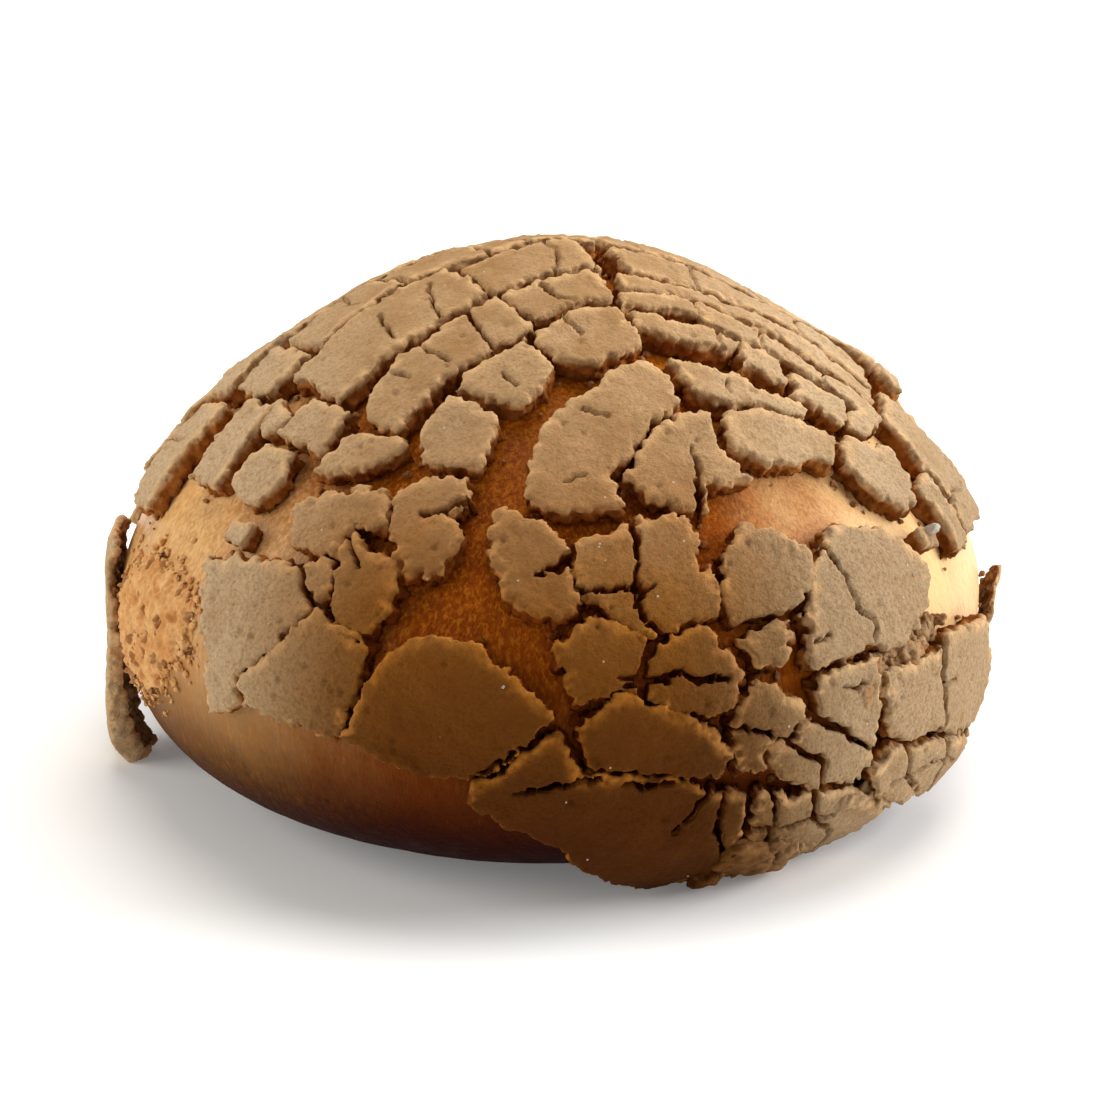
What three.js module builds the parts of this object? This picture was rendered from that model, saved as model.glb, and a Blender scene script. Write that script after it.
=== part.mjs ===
// Chocolate shell bread: a round sweet bun with a cracked, shell-scored sugar paste topping.
// Millimetres, +Z up. The origin is the centre of the flat foot, and -Y is the bun's front.
import * as THREE from 'three';
import { mergeVertices } from 'three/addons/utils/BufferGeometryUtils.js';

// Driving dimensions, millimetres and degrees.
const BUN = { radius: 57, height: 67, heart: 26, foot: 36, domePower: 1.55, bellyPower: 3.2 };
const BUN_GRID = { rings: 17, bellyRings: 10, segments: 54 };
const FACE = { height: 68, rise: 3 };            // the topping's upper face, as reach plus rise
const TOPPING = { seat: 0.5, shoulder: 0.7, bevel: 0.8, bulge: 0.2, edge: 4.2, spacing: 6.2, unevenness: 0.25 };
const PIVOT = { azimuth: 25, elevation: 11 };    // where the shell's arcs are drawn from
const MM_PER_DEGREE = BUN.radius * Math.PI / 180;
const FLOOR_GAP = 0.02;

// Slow swells of the risen dough: azimuth, elevation, spread in degrees, and rise in millimetres.
const SWELLS = [
  { azimuth: -70, elevation: 42, spread: 26, rise: 0.7 },
  { azimuth: 62, elevation: 60, spread: 24, rise: -0.6 },
  { azimuth: 150, elevation: 35, spread: 34, rise: 0.8 },
  { azimuth: -140, elevation: 12, spread: 30, rise: -0.7 },
];

const crust = new THREE.MeshStandardMaterial({ color: 0xb8742f, roughness: 0.5, metalness: 0 });
const paste = new THREE.MeshStandardMaterial({ color: 0xa58262, roughness: 0.9, metalness: 0 });
const rad = THREE.MathUtils.degToRad;

// Unit direction from the bun's heart; azimuth 0 is the front and grows towards +X.
function compass(azimuth, elevation) {
  const level = Math.cos(rad(elevation));
  return new THREE.Vector3(
    level * Math.sin(rad(azimuth)), -level * Math.cos(rad(azimuth)), Math.sin(rad(elevation)));
}

const pivot = compass(PIVOT.azimuth, PIVOT.elevation);
const pivotUp = new THREE.Vector3(0, 0, 1).addScaledVector(pivot, -pivot.z).normalize();
const pivotRight = new THREE.Vector3().crossVectors(pivotUp, pivot);
const swells = SWELLS.map((s) => ({ ...s, towards: compass(s.azimuth, s.elevation) }));
const heart = new THREE.Vector3(0, 0, BUN.heart);

// Direction at a distance and bearing, in degrees, from the pivot; bearing 0 runs up over the dome.
function polar(bearing, distance) {
  const out = Math.sin(rad(distance));
  return pivot.clone().multiplyScalar(Math.cos(rad(distance)))
    .addScaledVector(pivotRight, out * Math.sin(rad(bearing)))
    .addScaledVector(pivotUp, out * Math.cos(rad(bearing)));
}

// The same on flat axes: x to the right and y up, in degrees from the pivot.
function chart([x, y]) {
  return polar(THREE.MathUtils.radToDeg(Math.atan2(x, y)), Math.hypot(x, y));
}

// Distance from the heart to the crust: a superellipse dome over a fuller belly, cut flat at the foot.
function reach(d, height) {
  const across = Math.hypot(d.x, d.y) / BUN.radius;
  let distance;
  if (d.z >= 0) {
    const up = d.z / (height - BUN.heart);
    distance = (across ** BUN.domePower + up ** BUN.domePower) ** (-1 / BUN.domePower);
  } else {
    const deep = BUN.heart / (1 - (BUN.foot / BUN.radius) ** BUN.bellyPower) ** (1 / BUN.bellyPower);
    const down = -d.z / deep;
    const belly = (across ** BUN.bellyPower + down ** BUN.bellyPower) ** (-1 / BUN.bellyPower);
    distance = Math.min(belly, BUN.heart / -d.z);
  }
  if (d.z < -0.4) return distance;
  const fade = Math.min(1, (d.z + 0.4) / 0.4);
  for (const s of swells) {
    const angle = THREE.MathUtils.radToDeg(d.angleTo(s.towards)) / s.spread;
    distance += fade * s.rise * Math.exp(-angle * angle);
  }
  return distance;
}

// Outward normal of the crust, from two short steps across it.
function normalAt(d) {
  const step = 0.01;
  const side = new THREE.Vector3(-d.y, d.x, 0).normalize();
  const over = new THREE.Vector3().crossVectors(d, side);
  const on = (axis, sign) => {
    const e = d.clone().addScaledVector(axis, sign * step).normalize();
    return e.multiplyScalar(reach(e, BUN.height));
  };
  return on(side, 1).sub(on(side, -1)).cross(on(over, 1).sub(on(over, -1))).normalize();
}

// Point over the crust: the face point in direction d, let down along the normal to this height.
function place(d, height) {
  const face = reach(d, FACE.height) + FACE.rise;
  const normal = normalAt(d);
  const thickness = (face - reach(d, BUN.height)) * normal.dot(d);
  const point = heart.clone().addScaledVector(d, face).addScaledVector(normal, height - thickness);
  point.z = Math.max(point.z, FLOOR_GAP);
  return point;
}

function thicknessAt(d) {
  return (reach(d, FACE.height) + FACE.rise - reach(d, BUN.height)) * normalAt(d).dot(d);
}

// Gentle unevenness of the paste, between -1 and 1, repeating nowhere on the bun.
function uneven(d) {
  return (Math.sin(9.1 * d.x + 5.3 * d.z + 1.7) + Math.sin(12.7 * d.y - 7.9 * d.x + 0.6)
    + Math.sin(15.1 * d.z + 10.3 * d.y + 4.1)) / 3;
}

// Piece of a scored row, given as stations of bearing, inner and outer distance from the pivot.
function row(stations) {
  const at = (bearing) => {
    const last = stations.length - 2;
    let i = 0;
    while (i < last && bearing > stations[i + 1][0]) i += 1;
    const [from, to] = [stations[i], stations[i + 1]];
    const t = (bearing - from[0]) / (to[0] - from[0]);
    return [from[1] + t * (to[1] - from[1]), from[2] + t * (to[2] - from[2])];
  };
  const first = stations[0][0];
  const span = stations[stations.length - 1][0] - first;
  const middle = rad(at(first + span / 2)[1]);
  const steps = Math.max(2, Math.ceil(span * MM_PER_DEGREE * Math.sin(middle) / TOPPING.edge));
  const inner = [];
  const outer = [];
  for (let k = 0; k <= steps; k += 1) {
    const bearing = first + span * k / steps;
    const [near, far] = at(bearing);
    inner.push(polar(bearing, near));
    outer.push(polar(bearing, far));
  }
  return inner.concat(outer.reverse());
}

// Flat axes in millimetres about a direction, for laying out one piece and its triangles.
function localFrame(outline) {
  const centre = outline.reduce((sum, d) => sum.add(d), new THREE.Vector3()).normalize();
  const right = new THREE.Vector3(-centre.y, centre.x, 0).normalize();
  const up = new THREE.Vector3().crossVectors(centre, right);
  return {
    flatten(d) {
      const angle = centre.angleTo(d);
      const across = new THREE.Vector2(d.dot(right), d.dot(up));
      return across.setLength(angle * BUN.radius);
    },
    lift(p) {
      const angle = p.length() / BUN.radius;
      const turn = Math.atan2(p.y, p.x);
      return centre.clone().multiplyScalar(Math.cos(angle))
        .addScaledVector(right, Math.sin(angle) * Math.cos(turn))
        .addScaledVector(up, Math.sin(angle) * Math.sin(turn));
    },
  };
}

// Puts extra points on edges longer than the limit, bowed out a little, so the outline follows the dome.
function shorten(points, limit) {
  const result = [];
  points.forEach((p, i) => {
    const next = points[(i + 1) % points.length];
    const along = next.clone().sub(p);
    const outward = new THREE.Vector2(along.y, -along.x).normalize();
    const parts = Math.ceil(along.length() / limit);
    for (let k = 0; k < parts; k += 1) {
      const bow = TOPPING.bulge * Math.sin(Math.PI * k / parts);
      result.push(p.clone().lerp(next, k / parts).addScaledVector(outward, bow));
    }
  });
  return result;
}

// Moves each corner inwards by the bevel, along the line that halves it.
function inset(points, distance) {
  return points.map((p, i) => {
    const before = points[(i + points.length - 1) % points.length];
    const after = points[(i + 1) % points.length];
    const a = p.clone().sub(before).normalize();
    const b = after.clone().sub(p).normalize();
    const inward = new THREE.Vector2(-a.y - b.y, a.x + b.x);
    const stretch = Math.max(inward.length(), 1);
    return p.clone().addScaledVector(inward.normalize(), 2 * distance / stretch);
  });
}

const turnOf = (a, b, c) => (b.x - a.x) * (c.y - a.y) - (b.y - a.y) * (c.x - a.x);

// True where point d lies inside the circle through a, b and c.
function insideCircle(a, b, c, d) {
  const [p, q, r] = [a, b, c].map((v) => v.clone().sub(d));
  return p.lengthSq() * (q.x * r.y - q.y * r.x) - q.lengthSq() * (p.x * r.y - p.y * r.x)
    + r.lengthSq() * (p.x * q.y - p.y * q.x) > 1e-6;
}

// Turns shared edges until no triangle's circle holds its neighbour's far corner.
function relax(points, faces) {
  for (let turned = true; turned;) {
    turned = false;
    const owners = new Map();
    faces.forEach((face, f) => face.forEach((v, k) => owners.set(`${v}_${face[(k + 1) % 3]}`, [f, k])));
    for (const [f, k] of owners.values()) {
      const [a, b, c] = [faces[f][k], faces[f][(k + 1) % 3], faces[f][(k + 2) % 3]];
      const twin = owners.get(`${b}_${a}`);
      if (twin === undefined) continue;
      const d = faces[twin[0]][(twin[1] + 2) % 3];
      if (!insideCircle(points[a], points[b], points[c], points[d])) continue;
      if (turnOf(points[a], points[d], points[c]) <= 0) continue;
      if (turnOf(points[d], points[b], points[c]) <= 0) continue;
      faces[f] = [a, d, c];
      faces[twin[0]] = [d, b, c];
      turned = true;
      break;
    }
  }
}

// Fills an outline with triangles, adding inner points until none is larger than the spacing allows.
function fill(outline, spacing) {
  const points = outline.map((p) => p.clone());
  const faces = THREE.ShapeUtils.triangulateShape(outline, []).map((f) => [...f]);
  faces.forEach((f) => { if (turnOf(points[f[0]], points[f[1]], points[f[2]]) < 0) f.reverse(); });
  relax(points, faces);
  const limit = 0.5 * spacing * spacing;
  for (;;) {
    const areas = faces.map(([a, b, c]) => turnOf(points[a], points[b], points[c]) / 2);
    const widest = areas.indexOf(Math.max(...areas));
    if (areas[widest] < limit) return { points, faces };
    const [a, b, c] = faces[widest];
    const centre = points[a].clone().add(points[b]).add(points[c]).divideScalar(3);
    const added = points.push(centre) - 1;
    faces.splice(widest, 1, [a, b, added], [b, c, added], [c, a, added]);
    relax(points, faces);
  }
}

// One piece of topping: a foot, a steep wall and a bevelled face, over the crust.
// extra(d) raises the face and hang(d) lifts the whole piece off the crust, both in millimetres.
function slab(outline, options = {}) {
  const { thick = 1, seat = TOPPING.seat, spacing = TOPPING.spacing } = options;
  const { extra = () => 0, hang = () => 0 } = options;
  const frame = localFrame(outline);
  let flat = outline.map((d) => frame.flatten(d));
  if (THREE.ShapeUtils.isClockWise(flat)) flat.reverse();
  flat = shorten(flat, TOPPING.edge);
  const count = flat.length;
  const face = fill(inset(flat, TOPPING.bevel), spacing);
  const foot = fill(flat, spacing);
  const vertices = [];
  const add = (p, share) => {
    const d = frame.lift(p);
    const height = thicknessAt(d) * thick + TOPPING.unevenness * uneven(d) + extra(d);
    vertices.push(...place(d, hang(d) + seat + (height - seat) * share));
  };
  face.points.forEach((p) => add(p, 1));
  flat.forEach((p) => add(p, TOPPING.shoulder));
  foot.points.forEach((p) => add(p, 0));
  const shoulder = face.points.length;
  const base = shoulder + count;
  const index = face.faces.flat();
  for (let i = 0; i < count; i += 1) {
    const j = (i + 1) % count;
    index.push(i, shoulder + i, j, j, shoulder + i, shoulder + j);
    index.push(shoulder + i, base + i, shoulder + j, shoulder + j, base + i, base + j);
  }
  foot.faces.forEach(([a, b, c]) => index.push(base + c, base + b, base + a));
  const geometry = new THREE.BufferGeometry();
  geometry.setAttribute('position', new THREE.Float32BufferAttribute(vertices, 3));
  geometry.setIndex(index);
  geometry.computeVertexNormals();
  return geometry;
}

// The bun: rings of points in even steps of direction, closed by the apex and the foot's centre.
function bunGeometry() {
  const lowest = -THREE.MathUtils.radToDeg(Math.atan(BUN.heart / BUN.foot));
  const elevations = [];
  for (let k = 0; k <= BUN_GRID.bellyRings; k += 1) elevations.push(lowest * (1 - k / BUN_GRID.bellyRings));
  for (let k = 1; k < BUN_GRID.rings; k += 1) elevations.push(90 * k / BUN_GRID.rings);
  const vertices = [0, 0, 0];
  elevations.forEach((elevation, ring) => {
    for (let s = 0; s < BUN_GRID.segments; s += 1) {
      const d = compass(360 * (s + (ring % 2) / 2) / BUN_GRID.segments, elevation);
      const point = heart.clone().addScaledVector(d, reach(d, BUN.height));
      if (ring === 0) point.z = 0;
      vertices.push(...point);
    }
  });
  const apex = new THREE.Vector3(0, 0, 1);
  vertices.push(...heart.clone().addScaledVector(apex, reach(apex, BUN.height)));
  const index = [];
  const at = (ring, s) => 1 + ring * BUN_GRID.segments + (s + BUN_GRID.segments) % BUN_GRID.segments;
  const top = 1 + elevations.length * BUN_GRID.segments;
  for (let s = 0; s < BUN_GRID.segments; s += 1) {
    index.push(0, at(0, s + 1), at(0, s));
    for (let ring = 0; ring + 1 < elevations.length; ring += 1) {
      const shift = ring % 2;
      index.push(at(ring, s), at(ring, s + 1), at(ring + 1, s + shift));
      index.push(at(ring + 1, s + shift), at(ring + 1, s + shift - 1), at(ring, s));
    }
    index.push(at(elevations.length - 1, s), at(elevations.length - 1, s + 1), top);
  }
  const geometry = new THREE.BufferGeometry();
  geometry.setAttribute('position', new THREE.Float32BufferAttribute(vertices, 3));
  geometry.setIndex(index);
  return mergeVertices(geometry);
}

const group = new THREE.Group();

function addMesh(name, geometry, material) {
  const mesh = new THREE.Mesh(geometry, material);
  mesh.name = name;
  group.add(mesh);
}

function topping(name, outline, options) {
  addMesh(name, slab(outline, options), paste);
}

addMesh('bun', bunGeometry(), crust);

// The shell's middle: the large curved pieces over the pivot, on the flat chart.
const MIDDLE = {
  leaf: [[-25.5, 22], [-20, 34], [-5.5, 43], [3, 43.5], [5, 38], [3.3, 34.2], [-3, 31], [-12.5, 23.5],
    [-11.5, 18], [-22, 18.5]],
  tongue: [[-10.5, 23], [-3, 29.5], [3, 32.4], [7.6, 31], [6, 25], [8.8, 19.5], [1, 19.5], [0, 15.5],
    [-8, 18.4]],
  brow: [[6, 43], [9, 43], [17.5, 38.5], [21, 35], [28, 29.2], [25.8, 27.5], [17.5, 31.6], [8, 35]],
  shield: [[9, 29], [11, 31.4], [17, 30.4], [24, 27.6], [30, 23.6], [26, 20], [13, 21], [8.5, 25]],
  small_shield: [[28.2, 19], [32.6, 23.4], [37, 20.9], [41.5, 19], [40, 11], [35, 10], [30, 14.4]],
};

// Scored rows: hand-broken ends near the middle on the chart, then true arcs by stations.
const BROKEN_ROWS = {
  row1_a: [[-40.5, 34], [-34, 42.5], [-26.5, 35.5], [-32, 27], [-40, 30]],
  row1_b: [[-33, 43], [-30, 46.5], [-17.6, 53.5], [-15.2, 45.5], [-19, 40.5], [-23, 38]],
  row1_c: [[-16.5, 54], [-6, 57], [3.5, 57], [3, 47], [-7, 45], [-14, 47.5]],
  row1_d: [[5, 55.6], [19.3, 49.8], [24.4, 45], [20, 43.5], [9, 49.2], [4.6, 51]],
  row1_e: [[25.8, 45.2], [31.5, 39.4], [28.5, 35.6], [21.6, 40.2]],
  row2_a: [[-58, 31], [-52, 37.5], [-44, 36], [-42, 34], [-48, 29.5], [-56, 29]],
  row3_a: [[-73, 31], [-69, 37], [-62.8, 36], [-62.8, 30.5], [-67, 25.5], [-72, 26.5]],
};
const ARC_ROWS = {
  row1_f: [[41, 42.8, 50], [53, 42.4, 47.6]],
  row2_b: [[-50, 57, 64], [-44, 57, 68], [-16, 57, 68.4]],
  row2_c: [[-15, 59, 68], [3.6, 59, 68]],
  row2_d: [[5, 57.5, 62], [21, 57, 62]],
  row2_e: [[22, 54, 61], [42, 51.5, 56], [62, 47.5, 53]],
  row3_b: [[-58.6, 67, 76.4], [-51, 67, 76.4]],
  row3_c: [[-49.6, 71, 84], [-44, 70.5, 86], [-17.6, 70.5, 86]],
  row3_d: [[-16.4, 69.6, 82], [5, 69, 81]],
  row3_e: [[7, 63, 68], [24, 62.4, 67], [60, 54.6, 60]],
  row4_a: [[-68.6, 82, 90.7], [-55, 82, 90.7]],
  row4_b: [[-53.8, 87, 98], [-44.4, 87, 99]],
  row4_c: [[-43, 87, 99], [-25, 87.4, 100]],
  row4_d: [[-24, 88, 99], [-17, 87.2, 98.4], [-9.5, 84, 96]],
  row4_e: [[-8.4, 83.4, 97], [10, 82.6, 95]],
  row4_f: [[11.2, 69.5, 80], [28, 68.4, 78], [44, 65, 74], [60, 61.4, 70]],
  row5_a: [[-74, 99, 108], [-57, 97, 106]],
};
// Right-hand ends of the outer rows, where the bun turns away.
const RIGHT_EDGE = {
  edge_low: [[73, 44.6, 49], [87, 43, 48.6]],
  edge_long: [[62.5, 55, 64], [72, 50.6, 66], [86, 50.2, 66]],
};

// Crackled front, below the shell: pieces on the chart, split by cracks that run through the paste.
const CRACKLE = {
  crackle_hook: [[-29, 20], [-24, 17], [-21.5, 14.5], [-20.2, 10.5], [-20.2, 6.5], [-23, 4], [-28, 6],
    [-31, 11]],
  crackle_upper: [[-19.2, 13.5], [-13, 14.5], [-4, 15], [-4, 9], [-1.9, 5], [-2.5, 2.5], [-9, 2],
    [-13, 1], [-17, 4], [-19, 6.8]],
  crackle_centre: [[0, 10], [3, 11.5], [8, 11.5], [13, 8], [11, 4], [8, 1], [6, -0.5], [5, -5],
    [1.5, -4], [-0.5, -1], [-0.8, 2.5]],
  crackle_right: [[13, 6.5], [20, 10], [28, 8], [33.5, 1], [29, -3], [22, -6.2], [18, -5], [8.5, -5],
    [10, 0]],
  crackle_left: [[-24, 0.5], [-19.5, 3.4], [-15.5, 1.8], [-12.5, 0], [-5, 0.5], [-2, -4.5], [-3, -9],
    [-6, -9.5], [-11, -8], [-13, -5.8], [-21.5, -5]],
  crackle_small: [[-2, -9], [0.5, -6.5], [4, -8.5], [6.3, -11], [4, -14], [1.6, -15], [1.5, -17.5],
    [-2, -17]],
  crackle_lower: [[9, -7.5], [13, -6.7], [18.6, -6.6], [18.2, -11], [17.8, -18], [16.3, -21.6],
    [9.5, -21.8], [3, -18.4], [3, -15.4], [7, -14.5], [8, -11]],
  crackle_foot: [[-21.5, -8.5], [-15, -6.7], [-8, -10.5], [-3.2, -15], [-4.5, -17], [-13, -15.5],
    [-20, -14.3]],
};

// Left-hand pieces, beside the bare side of the bun.
const LEFT = {
  left_high: [[-75, 15], [-58.5, 14.4], [-53.9, 14], [-54.3, 9], [-55.9, 7.6], [-58.4, 5], [-66.4, -2.8],
    [-67.3, -7.6], [-71, -9], [-71, 0]],
  left_low: [[-55, 7], [-48, 2], [-50, -5], [-52, -9.5], [-65.5, -7.4], [-65.4, -3.6], [-57.4, 4.4]],
  left_inner: [[-50.5, 17], [-44.5, 13.5], [-44.5, 9.5], [-48, 4], [-52, 6], [-52.9, 11]],
  left_upper: [[-60, 25], [-46.2, 25], [-46.2, 20], [-51.5, 20], [-53, 15.6], [-57, 17], [-60, 20]],
  left_hooked: [[-45, 24.5], [-40.5, 26.5], [-33.5, 25], [-34.5, 21.2], [-39.6, 20.4], [-35.4, 18.4],
    [-38, 11.5], [-43, 12], [-44, 16]],
};

// Skirt: the sheet that has slid down the front until it meets what the bun stands on.
const SKIRT = {
  skirt_plate: [[-51, -10], [-49, -6], [-44, 0.5], [-38, 3], [-33, 1], [-24, -8], [-34, -14.8],
    [-40, -15]],
  skirt_sheet: [[-24, -9.2], [-22, -15.2], [-10, -16.8], [-6, -20], [-0.8, -20.8], [-0.4, -39.4], [-12, -37.6], [-18, -32.4],
    [-24, -26.5], [-35, -19], [-34.4, -16]],
  skirt_foot: [[0.8, -20.8], [6, -23.2], [10.5, -23.4], [16, -23.4], [19, -26.4], [25, -30.2],
    [22, -35.4], [12, -38.6], [1, -39.6]],
  skirt_facets: [[20, -8], [31, -8.3], [33, -7], [45, -7.5], [48, -15], [44, -24], [33, -20],
    [27, -19.2], [21, -17.3], [19.4, -12]],
  skirt_rim: [[17.6, -21], [22, -18.8], [27, -20.6], [33, -21.4], [43.4, -25.4], [46, -29], [36, -31.4],
    [25.6, -28.6], [20, -25.6]],
};

// Rows over the top and down the back; the arcs close in towards the right.
const BACK_ROWS = [
  { name: 'row5', inner: 102, outer: 112.5, cuts: [-55, 10, 80] },
  { name: 'row6', inner: 116, outer: 127, cuts: [-70, 2, 82] },
  { name: 'row7', inner: 130, outer: 141, cuts: [-80, -8, 84] },
  { name: 'row8', inner: 144, outer: 154, cuts: [-82, 82] },
  { name: 'row9', inner: 157, outer: 168, cuts: [-72, 66] },
];
const CLOSING = { from: -10, to: 90, factor: 0.79 };
const CUT_GAP = 1.4;                              // degrees between two pieces of one row

const draw = (outlines, maker, options) => Object.entries(outlines).forEach(
  ([name, outline]) => topping(name, maker(outline), options?.[name]));

const onChart = (outline) => outline.map(chart);

draw(MIDDLE, onChart);
draw(BROKEN_ROWS, onChart);
draw(ARC_ROWS, row);
draw(RIGHT_EDGE, row);
const lump = (d) => 2 * Math.exp(-((d.angleTo(polar(62, 72)) / rad(6)) ** 2));
topping('edge_lump', row([[13, 83, 92], [30, 80.5, 91], [44, 77, 87], [55, 73, 84], [66, 68, 82]]),
  { extra: lump });
draw(CRACKLE, onChart);
draw(LEFT, onChart);

// The big plate's upper rim has curled away from the crust.
const curl = (d) => 2.2 * Math.exp(-((d.angleTo(chart([-40, 3])) / rad(9)) ** 2));
// Lower down, the skirt swells towards its foot and sits a little off the tight curve of the belly.
const swell = (d) => 1.6 * THREE.MathUtils.smoothstep(-d.z, Math.sin(rad(12)), Math.sin(rad(27)));
const low = { extra: swell, seat: 0.8, spacing: 4.6 };
draw(SKIRT, onChart, {
  skirt_plate: { extra: curl, thick: 1.1 },
  skirt_sheet: low,
  skirt_foot: low,
  skirt_facets: { ...low, thick: 1.15 },
  skirt_rim: { ...low, thick: 1.25 },
});

for (const { name, inner, outer, cuts } of BACK_ROWS) {
  for (let k = 0; k + 1 < cuts.length; k += 1) {
    const from = cuts[k] + (k ? CUT_GAP / 2 : 0);
    const to = cuts[k + 1] - (k + 2 < cuts.length ? CUT_GAP / 2 : 0);
    const stations = [];
    for (let i = 0; i <= 6; i += 1) {
      const bearing = from + (to - from) * i / 6;
      const t = THREE.MathUtils.clamp((bearing - CLOSING.from) / (CLOSING.to - CLOSING.from), 0, 1);
      const close = 1 - (1 - CLOSING.factor) * t;
      const wave = 0.6 * Math.sin(bearing / 7 + inner);
      stations.push([bearing, inner * close + wave, outer * close + wave]);
    }
    topping(`${name}_${'bcd'[k]}`, row(stations));
  }
}

// Two flakes that have come loose at the sides, by azimuth and elevation from the heart.
const FLAPS = {
  flap_left: {
    outline: [[-84, 5.4], [-90, 7.6], [-97, 5], [-99, -6], [-96, -16], [-91, -23], [-85, -22.4], [-82, -14],
      [-81, -4]],
    thick: 0.9,
    heavy: 3.2,                                   // how much thicker it grows towards its lower end
    hold: -8,                                     // elevation where it still sits on the crust
    above: 1.4,
    below: 6.5,
    reach: 16,                                    // degrees over which it lifts off fully
  },
  flap_right: {
    outline: [[84, -3.4], [88, 0.9], [91, -0.4], [94.6, -4], [90.4, -7.2], [85, -6.6]],
    thick: 0.8,
    heavy: 0,
    hold: -6.4,
    above: 1.6,
    below: 0.2,
    reach: 6,
  },
};
const HEAVY_FROM = 7;                             // degrees below the horizon
const HEAVY_FULL = 22;

for (const [name, flap] of Object.entries(FLAPS)) {
  const hang = (d) => {
    const lift = (THREE.MathUtils.radToDeg(Math.asin(d.z)) - flap.hold) / flap.reach;
    return (lift > 0 ? flap.above : flap.below) * Math.min(Math.abs(lift), 1.2) ** 1.6;
  };
  const extra = (d) => flap.heavy
    * THREE.MathUtils.smoothstep(-d.z, Math.sin(rad(HEAVY_FROM)), Math.sin(rad(HEAVY_FULL)));
  topping(name, flap.outline.map(([azimuth, elevation]) => compass(azimuth, elevation)),
    { thick: flap.thick, extra, hang });
}

export default group;
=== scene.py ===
"""Looks of a chocolate shell bread: baked crust, cracked sugar paste, loose flakes, crumbs and sugar.

Shapes are worked out in millimetres, with +Z up and -Y the bun's front, and go to their meshes in
metres. The crust is a superellipse dome over a fuller belly about the bun's heart. Every piece of
paste is a height over that crust, on a grid of directions, inside the outline of its solid.
"""

import itertools
import math

import bpy
import numpy as np
from bpy.props import FloatProperty, FloatVectorProperty, IntProperty, PointerProperty
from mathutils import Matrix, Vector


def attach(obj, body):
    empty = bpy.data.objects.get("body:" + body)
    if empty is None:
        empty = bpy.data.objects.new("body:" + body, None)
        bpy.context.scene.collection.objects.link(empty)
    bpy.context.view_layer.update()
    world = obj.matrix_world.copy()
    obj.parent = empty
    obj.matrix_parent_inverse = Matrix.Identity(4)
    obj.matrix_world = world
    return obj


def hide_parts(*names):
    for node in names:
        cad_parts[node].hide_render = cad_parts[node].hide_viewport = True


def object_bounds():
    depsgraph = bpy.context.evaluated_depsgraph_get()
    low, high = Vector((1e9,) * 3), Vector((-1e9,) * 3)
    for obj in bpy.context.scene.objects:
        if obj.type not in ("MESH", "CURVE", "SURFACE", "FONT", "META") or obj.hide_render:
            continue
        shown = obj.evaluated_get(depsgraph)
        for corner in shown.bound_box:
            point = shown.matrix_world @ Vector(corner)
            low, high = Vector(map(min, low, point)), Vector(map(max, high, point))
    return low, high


bl_info = {
    "name": "Shell bread",
    "version": (1, 0, 0),
    "blender": (4, 5, 0),
    "location": "View3D > Sidebar > Bread",
    "description": "Dresses a shell bread's solids with crust, cracked paste, flakes, crumbs and sugar",
    "category": "Add Mesh",
}

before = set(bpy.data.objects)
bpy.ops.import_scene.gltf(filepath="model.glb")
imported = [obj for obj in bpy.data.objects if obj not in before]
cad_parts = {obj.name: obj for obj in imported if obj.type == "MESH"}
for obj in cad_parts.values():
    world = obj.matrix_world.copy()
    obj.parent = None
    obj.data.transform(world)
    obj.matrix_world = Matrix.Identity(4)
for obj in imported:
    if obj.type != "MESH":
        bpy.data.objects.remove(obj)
CAD_BOX = [list(corner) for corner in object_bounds()]
MM = 0.001

# The bun, as its solid has it: millimetres and degrees.
RADIUS, HEIGHT, HEART, FOOT = 57.0, 67.0, 26.0, 36.0
DOME_POWER, BELLY_POWER = 1.55, 3.2
FACE_HEIGHT, FACE_RISE = 68.0, 3.0
PIVOT_AZIMUTH, PIVOT_ELEVATION = 25.0, 11.0
SWELLS = ((-70, 42, 26, 0.7), (62, 60, 24, -0.6), (150, 35, 34, 0.8), (-140, 12, 30, -0.7))

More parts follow.
